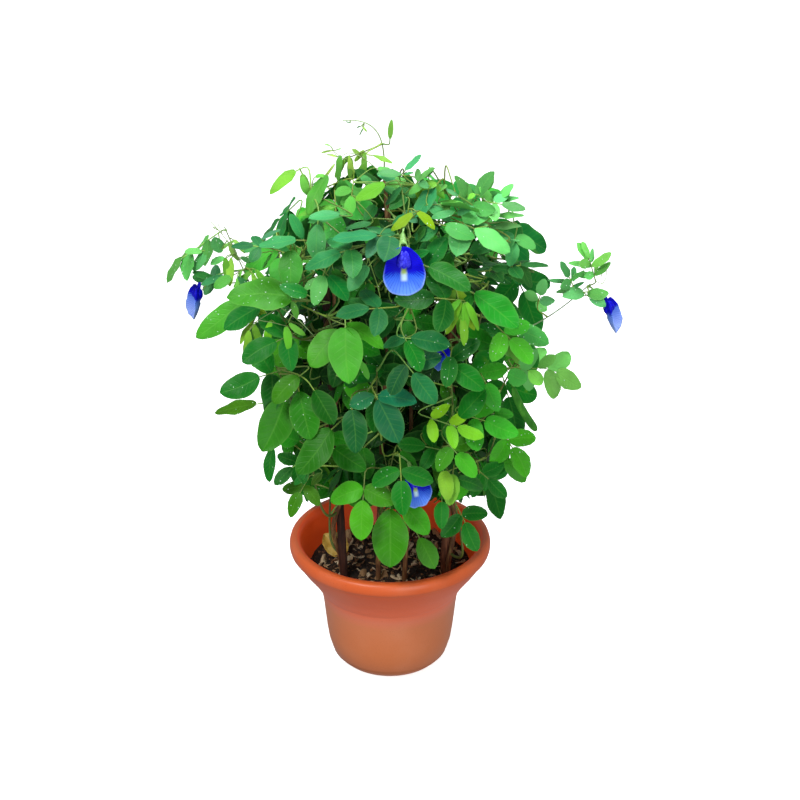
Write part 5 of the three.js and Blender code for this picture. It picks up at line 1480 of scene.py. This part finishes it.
def fillCrown():
    form, dice = filling, random.Random(filling["seed"])
    centres = [middleOf(leaflet) for part in plant.values() for leaf in part["leaves"]
               for leaflet in leaf["leaflets"]]
    shown = np.array([seenAt(centre) for centre in centres])
    taken = np.array([tuple(centre) for centre in centres])
    spots = [Vector(bloom["at"]) - upward * (22 * bloom["scale"]) for bloom in blooms.values()]
    bloomsSeen = [(spot, seenAt(spot)) for spot in spots]
    made, count = {name: [] for name in plant}, 0

    def fits(middle, room):  # whether a leaflet there leaves the others, the bare places and the blooms free
        if np.min(np.sum((taken - np.array(middle)) ** 2, axis=1)) < room ** 2:
            return False
        x, y, depth = seenAt(middle)
        if any(left < x < right and top < y < bottom for left, top, right, bottom in form["bare"]):
            return False
        near = (np.abs(shown[:, 0] - x) < form["heroRoom"]) & (np.abs(shown[:, 1] - y) < form["heroRoom"])
        if np.any(near & (shown[:, 2] > depth - 8)) and depth < photoView["distance"]:
            return False
        return not any((middle - spot).length < form["bloomRoom"] or (
            hypot(x - seen[0], y - seen[1]) < form["bloomRoom"] and depth < seen[2]) for spot, seen in bloomsSeen)

    for attempt in range(form["tries"] + form["sideTries"]):
        # The last tries face the sides, where the leaves above show their edges.
        sideways = attempt >= form["tries"]
        if attempt == form["tries"]:
            count = 0
        if count >= form["sideMost" if sideways else "most"]:
            continue
        height, plan = fillerPlan(dice, attempt, sideways)
        if not plan or not staysInside(plan):
            continue
        foot = plan["foot"]
        bearers = {name: nearest(plant[name]["places"], foot) for name in plant if name != "crownTip"}
        name = min(bearers, key=lambda bearer: (bearers[bearer] - foot).length)
        middles = [middleOf(leaflet) for leaflet in plan["leaflets"]]
        room = form["apart"] * (0.8 if height > form["loose"] else 1)
        if not form["reach"][0] < (bearers[name] - foot).length < form["reach"][1]:
            continue
        if all(fits(middle, room) for middle in middles):
            made[name].append((plan, bearers[name], 1000 + attempt))
            taken = np.vstack([taken, [tuple(middle) for middle in middles]])
            count += 1
    print("crown is filled with", sum(len(rows) for rows in made.values()), "more leaves,", len(taken),
          "leaflets in all")
    return made


def makeShoots():
    extra, shapes = fillCrown(), bladeShapes()
    tree = leafyTree(shapes, bladeSkin(), greenStemSkin())
    seed, steps = 0, 40
    for name, part in plant.items():
        sketch = Sketch()
        first, last, green = slimStems.get(name, (0.95, 0.45, shootTint))
        widths = [stemForm["radius"] * between(first, last, i / steps) for i in range(steps + 1)]
        sketch.stem([bezier(part["curve"], i / steps) for i in range(steps + 1)], widths, shaded(green, 0.5, 0.1))
        for plan in part["leaves"]:
            seed += 1
            root = nearest(part["places"], plan["foot"])
            drawLeaf(sketch, plan, root, seed, paler.get(name, 0.0), leafTints.get(seed))
        drawExtras(sketch, name, part)
        for plan, root, number in extra[name]:
            drawLeaf(sketch, plan, root, number, low=True)
        piece = sketch.piece(f"foliage_{name}")
        grow(piece, tree, stemSides=7)
        fresh = any(leaf[6] in ("young", "fresh", "bright", "pale") for leaf in shoots[name][4])
        place(piece, "fresh_leaf" if fresh else "dark_leaf", f"shoot_{name}")
    dropShapes(shapes)


makeShoots()
print("shoots are in leaf")

# Blooms: the banner petal with its keel and wings, and the calyx that holds it
bannerForm = {"length": 44, "width": 37, "thick": 0.9, "narrowing": 0.16, "seat": 0.4, "rings": 16, "sides": 56,
              "ruffle": 1.1, "notch": 0.05}
throatForm = {"below": 11, "wing": (3.0, 7.6, 2.3), "wingApart": 2.7, "wingBefore": 2.9, "keel": (2.6, 6.6, 3.1),
              "keelBefore": 1.8, "finger": (1.9, 4.4, 1.9)}
wingFinish = {"roughness": 0.5, "grain": (420.0,), "relief": (0.3, 0.3), "gloss": 0.2}
wingStops = {"wingPetal": [(0.3, (24, 16, 180)), (0.55, (56, 58, 232)), (0.75, (110, 120, 255))],
             "deepWingPetal": [(0.3, (2, 0, 170)), (0.55, (8, 6, 214)), (0.75, (30, 36, 240))]}
calyxForm = {"length": 15, "mouth": 3.4, "foot": 1.7, "slope": 42, "behind": 2.6, "below": 1.5, "bow": 3,
             "sides": 20, "tooth": 6,
             "rows": [(0.0, 0.2), (0.02, 0.8), (0.1, 1.05), (0.3, 1.0), (0.55, 1.05), (0.8, 1.15), (0.94, 1.2),
                      (1.0, 1.16), (0.97, 0.98), (0.8, 0.8), (0.55, 0.3)],
             "skin": {"roughness": 0.5, "grain": (480.0,), "relief": (0.4, 0.4), "stretch": (1, 1, 0.5),
                      "stops": [(0.3, (96, 150, 70)), (0.55, (132, 184, 96)), (0.75, (176, 214, 140))]}}


def bloomAxes(bloom):
    out = outwardAt(radians(bloom["turn"]))
    tilt = radians(bloom["tilt"])
    down = out * sin(tilt) - upward * cos(tilt)
    face = out * cos(tilt) + upward * sin(tilt)
    return out, down, face, face.cross(down)


def bannerPoint(bloom, step, angle, lift, seed):
    form, scale = bannerForm, bloom["scale"]
    _, down, face, side = bloomAxes(bloom)
    rimmed = step ** 5
    notch = 1 - form["notch"] * rimmed * exp(-((angle - pi) / 0.16) ** 2)
    reach = step * notch * (1 + 0.012 * rimmed * sin(9 * angle + seed))
    sine = sin(angle)
    narrowing = bloom.get("narrowing", form["narrowing"])
    across = copysign(abs(sine) ** bloom.get("blunt", 1), sine) * (1 - narrowing * cos(angle))
    waves = sin(7 * angle + seed) + 0.5 * sin(13 * angle + 2 * seed)
    ruffle = bloom.get("ruffle", form["ruffle"]) * scale * step ** 3 * waves
    crease = -1.6 * scale * exp(-(sin(angle) * step / 0.09) ** 2) * (1 - step) * (cos(angle) < 0)
    hollow = (sine * sine + bloom.get("soft", 0)) ** bloom.get("gather", 1)
    bend = scale * bloom["curl"] * (step * step * (form["seat"] + hollow) - form["seat"])
    return (Vector(bloom["at"]) + down * (scale * form["length"] * (0.5 - 0.5 * reach * cos(angle)))
            + side * (scale * form["width"] * reach * across / 2) + face * (lift + bend + ruffle + crease))


def petalSkin(name, paleFrom, pales):
    material, tree, shader = newMaterial(name, 0.55, 0.12)
    spot = mapPlace(tree, "petalMap")
    across, along = minus(spot[0], 0.5), spot[1]  # along is 0 at the top, 1 at the foot
    ragged = noise(objectPoint(tree), 260.0)
    spokes = maths("ARCTAN2", across, minus(along, 0.3))
    lines = maths("SINE", plus(times(spokes, 26.0), times(ragged, 2.2)))
    lines = maths("ABSOLUTE", lines)
    veins = fading(lines, 0.0, 0.45)
    border = plus(along, plus(times(minus(ragged, 0.5), 0.16),
                                    times(minus(lines, 0.5), 0.07)))
    deep = mixColour(veins, (4, 0, 208), (2, 0, 150))
    pale = cover(mixColour(smooth(along, paleFrom, 0.95), *pales), (24, 60, 216), veins, 0.6)
    colour = mixColour(smooth(border, paleFrom, paleFrom + 0.12), deep, pale)
    edge = times(smooth(attributeOf(tree, "rim"), 0.9, 1.0), smooth(along, 0.3, 0.7))
    colour = cover(colour, (150, 182, 255), edge, 0.75)
    middle = fading(maths("ABSOLUTE", across), 0.02, 0.1)
    for mark, at, soft, share in (((206, 240, 250), 0.6, 0.13, 0.9), ((168, 196, 60), 0.47, 0.12, 0.85)):
        spread = times(middle, fading(apart(along, at), 0.05, soft))
        colour = cover(colour, mark, spread, share)
    wire(colour, shader)
    bump(shader, plus(times(veins, -0.6), times(ragged, 0.3)), 0.5, 0.4)
    return material


def lobe(centre, axes, sizes, rings=10, sides=18, pinch=0.0):  # a closed round lobe; axes: across, long, out
    points = [centre + axes[1] * sizes[1]]
    for ring in range(1, rings):
        long = cos(pi * ring / rings)
        wide = sin(pi * ring / rings) ** 0.8 * (1 - pinch * long)
        for x, y in compass(sides):
            points.append(centre + axes[1] * (sizes[1] * long) + axes[0] * (sizes[0] * wide * x)
                          + axes[2] * (sizes[2] * wide * y))
    return points + [centre - axes[1] * sizes[1]], ringFaces(rings - 1, sides)


def makeBanner(name, bloom, petal, seed):
    form, sides = bannerForm, bannerForm["sides"]
    points, places, rims, faces = [], [], [], []

    def keep(step, angle):  # the two sides of one place
        for lift in (1, -1):
            thin = form["thick"] / 2 * (1 - 0.6 * step)
            points.append(bannerPoint(bloom, step, angle, lift * thin, seed))
            places.append((0.5 + 0.5 * step * sin(angle), 0.5 - 0.5 * step * cos(angle)))
            rims.append(step)

    keep(0, 0)
    for ring in range(1, form["rings"] + 1):
        for side in range(sides):
            keep((ring / form["rings"]) ** 0.85, 2 * pi * side / sides)
    for side in range(sides):
        a, b = 2 + 2 * side, 2 + 2 * ((side + 1) % sides)
        faces += [(0, b, a), (1, a + 1, b + 1)]
        last = 2 * sides * (form["rings"] - 1)
        for step in range(0, last, 2 * sides):
            on = step + 2 * sides
            faces += [(a + step, b + step, b + on, a + on), (a + step + 1, a + on + 1, b + on + 1, b + step + 1)]
        faces.append((a + last, b + last, b + last + 1, a + last + 1))
    banner = meshPiece(f"banner_{name}", points, faces, outwards=True)
    uvMap(banner.data, "petalMap", places)
    attribute(banner.data, "rim", "FLOAT", rims)
    dress(banner, petal, "petal", f"bloom_{name}")


def makeThroat(name, bloom, wing, seed):  # the wings and the keel
    throat, scale = throatForm, bloom["scale"]
    _, down, face, side = bloomAxes(bloom)
    centre = bannerPoint(bloom, 0, 0, 0, seed) - down * (scale * (bannerForm["length"] / 2 - throat["below"]))
    scale *= bloom.get("knob", 1)
    plump = bloom.get("plump", 1)  # the blooms at the sides show their keel as a round knob with a finger on top
    wide, long, deep = [size * scale for size in throat["wing"]]
    parts = []
    if plump > 1:
        tip = centre - down * (long * 0.9) + face * (throat["wingBefore"] * scale)
        parts.append(lobe(tip, (side, down, face), [size * scale for size in throat["finger"]], pinch=0.1))
    for hand in (-1, 1):
        spot = centre + side * (hand * throat["wingApart"] * scale) + face * (throat["wingBefore"] * scale)
        tilted = (down + side * (0.16 * hand)).normalized()
        outward = (face + side * (0.4 * hand)).normalized()
        parts.append(lobe(spot, (outward.cross(tilted), tilted, outward),
                          [wide, long / plump ** 0.4, deep * plump],
                          pinch=-0.18))
    spot = centre + down * (2.2 * scale) + face * (throat["keelBefore"] * scale)
    parts.append(lobe(spot, (side, down, face), [size * scale for size in throat["keel"]], pinch=-0.25))
    points, faces = [], []
    for more, fits in parts:
        faces += [tuple(index + len(points) for index in corners) for corners in fits]
        points += more
    dress(meshPiece(f"wings_{name}", points, faces, outwards=True), wing, "petal")


def hangStalk(name, root, foot, end, bow, widths, tree, slot):  # a bowed stalk from a shoot to what it carries
    high = root * 0.4 + foot * 0.6 + upward * bow
    line = [bezier([root, root.lerp(high, 0.7), high, end], i / 12) for i in range(13)]
    piece = linePiece(name, line, [between(*widths, i / 12) for i in range(13)])
    grow(piece, tree, sides=8, rough=0.1)
    place(piece, slot)


def makeCalyx(name, bloom, skin, tree):
    out, down, face, _ = bloomAxes(bloom)
    form, scale = calyxForm, bloom["scale"]
    slope, sides = radians(form["slope"]), form["sides"]
    axis = out * cos(slope) - upward * sin(slope)
    foot = Vector(bloom["at"]) - face * form["behind"] + down * form["below"] - axis * (form["length"] * scale)
    first = axis.orthogonal().normalized()
    second = axis.cross(first)
    points = [foot - axis * 0.2]
    for step, swell in form["rows"]:
        for number, (x, y) in enumerate(compass(sides)):
            tooth = max(0, cos(5 * pi * number / sides)) ** 2 * form["tooth"] * scale * max(0, (step - 0.8) / 0.2)
            radius = between(form["foot"], form["mouth"] * scale, step ** 0.8) * swell * (1 + 0.05 * tooth)
            points.append(foot + axis * (form["length"] * scale * step * 0.86 + tooth)
                          + (first * x + second * y) * radius)
    points.append(foot + axis * (form["length"] * scale * 0.5))
    cup = meshPiece(f"calyx_{name}", points, ringFaces(len(form["rows"]), sides), outwards=True)
    dress(cup, skin, "fresh_leaf")
    root = nearest(plant[bloom["shoot"]]["places"], foot)
    hangStalk(f"bloomStalk_{name}", root, foot, foot + axis * 0.5, form["bow"], (1.1, 0.9), tree, "fresh_leaf")


def makeBlooms():
    # The side blooms take the pale petal: their light tongue is their own, but its colours are painted lighter,
    # to offset the shade where they turn from the key lamp.
    petals = [petalSkin("bluePetal", 0.5, [(34, 92, 232), (96, 146, 252)]),
              petalSkin("palePetal", 0.34, [(96, 138, 250), (156, 182, 255)])]
    wings = [plainSkin(name, stops=stops, **wingFinish) for name, stops in wingStops.items()]
    cup = plainSkin("paleCalyx", **calyxForm["skin"])
    tree = tubeTree("bloomStalkTube", cup, 8)
    for name, bloom in blooms.items():
        aside, seed = name in ("left", "right"), 3.1 + 1.7 * len(name)
        makeBanner(name, bloom, petals[aside], seed)
        makeThroat(name, bloom, wings[aside], seed)
        makeCalyx(name, bloom, cup, tree)


makeBlooms()
print("blooms are open")

# Pod
pod = {"top": (116, -64, 338), "tip": (143, -48, 284), "width": 9, "thick": 4.2, "bend": 3,
       "across": (0.8, -0.6, 0),
       "bluntness": 6, "bow": 6, "rings": 44, "sides": 20, "seeds": 7, "shoot": "rightMid",
       "skin": {"roughness": 0.5, "grain": (160.0, 4.0), "fine": (900.0, 2.0), "relief": (0.3, 0.3), "gloss": 0.2,
                "stops": [(0.3, (42, 108, 24)), (0.55, (58, 134, 34)), (0.75, (86, 160, 50))]}}


def makePod():
    top, tip = Vector(pod["top"]), Vector(pod["tip"])
    down = (tip - top).normalized()
    side = Vector(pod["across"]).cross(down).normalized()
    face = down.cross(side)
    points, rings, sides = [], pod["rings"], pod["sides"]
    for ring in range(rings + 1):
        long = -cos(pi * ring / rings)  # -1 at the top, 1 at the tip
        full = sqrt(max(0, 1 - abs(long) ** pod["bluntness"]))
        seeds = 0.16 * max(0, cos(pi * (long + 1) * pod["seeds"])) * (abs(long) < 0.86)
        spot = top.lerp(tip, 0.5) + (tip - top) * (0.5 * long) + side * (pod["bend"] * long * long)
        if ring in (0, rings):
            points.append(spot)
            continue
        for wide, deep in compass(sides):
            flank = full * pod["width"] / 2 * wide * (1 + 0.06 * abs(wide) ** 8)
            swell = full * pod["thick"] / 2 * deep * (0.86 + seeds * (1 - wide * wide))
            points.append(spot + side * flank + face * swell)
    piece = meshPiece("bean_pod", points, ringFaces(rings - 1, sides, downward=True), outwards=True)
    skin = plainSkin("greenPod", **pod["skin"])
    dress(piece, skin, "pod", "pod")
    root, end = plant[pod["shoot"]]["places"][-3], top - down * 0.1 + side * pod["bend"]
    hangStalk("pod_stalk", root, end, end, pod["bow"], (1.0, 1.0), tubeTree("podStalkTube", skin, 8), "pod")


makePod()
print("pod hangs")

# The yellow leaf that has fallen on the soil
fallen = {"at": (-48, 12, 109.9), "clock": 304, "rise": 0.7, "length": 32, "width": 27, "arch": 0.05,
          "fold": 0.16, "face": (0.4, -0.9, 1), "rows": 18, "columns": 14, "thick": 0.7, "crumple": 1.7}


def fallenSkin():
    material, tree, shader = newMaterial("driedYellowLeaf", 0.7)
    patches = noise(objectPoint(tree), 120.0, 4.0)
    rib = fading(apart(mapPlace(tree, "leafMap")[0], 0.5), 0.0, 0.04)
    colour = ramp(patches, [(0.3, (180, 138, 46)), (0.5, (210, 174, 76)), (0.7, (230, 206, 124))])
    wire(cover(colour, (224, 204, 140), rib, 0.6), shader)
    bump(shader, patches, 0.5, 0.6)
    return material


def makeFallenLeaf():
    turn = radians(fallen["clock"])
    along = Vector((sin(turn), cos(turn), fallen["rise"])).normalized()
    face = Vector(fallen["face"])
    face = (face - along * face.dot(along)).normalized()
    side = face.cross(along)
    rows, columns = fallen["rows"], fallen["columns"]
    points, faces, places = [], [], []
    for lift in (1, -1):
        for row in range(rows + 1):
            step = 0.5 - 0.5 * cos(pi * row / rows)
            swell = max(0.02, sin(pi * min(max(step, 0.01), 0.99) ** 0.9) ** 0.6)
            half = 0.5 * fallen["width"] * swell * (1 + 0.07 * draw(row * 3 + 5))
            for column in range(columns + 1):
                across = 2 * column / columns - 1
                waves = abs(sin(step * 9 + across * 2.1)) - 0.5 + 0.7 * sin(across * 5 + step * 4)
                height = fallen["crumple"] * waves * (0.3
                                                      + 0.7 * abs(across)) + fallen["fold"] * abs(across) * half
                height += lift * fallen["thick"] / 2 - fallen["arch"] * fallen["length"] * step * step
                spot = Vector(fallen["at"]) + along * (step * fallen["length"])
                points.append(spot + side * (across * half) + face * height)
                places.append((0.5 + 0.5 * across, step))
    width, under = columns + 1, (rows + 1) * (columns + 1)
    for row in range(rows):
        for column in range(columns):
            a = row * width + column
            faces.append((a, a + 1, a + 1 + width, a + width))
            faces.append((under + a, under + a + width, under + a + 1 + width, under + a + 1))
    border = list(range(columns)) + [row * width + columns for row in range(rows)]
    border += [rows * width + columns - column for column in range(columns)]
    border += [(rows - row) * width for row in range(rows)]
    for first, second in zip(border, border[1:] + border[:1]):
        faces.append((first, first + under, second + under, second))
    piece = meshPiece("fallen_leaf_blade", points, faces, outwards=True)
    uvMap(piece.data, "leafMap", places)
    dress(piece, fallenSkin(), "yellow_leaf", "fallen_leaf")


makeFallenLeaf()
print("fallen leaf lies on the soil")
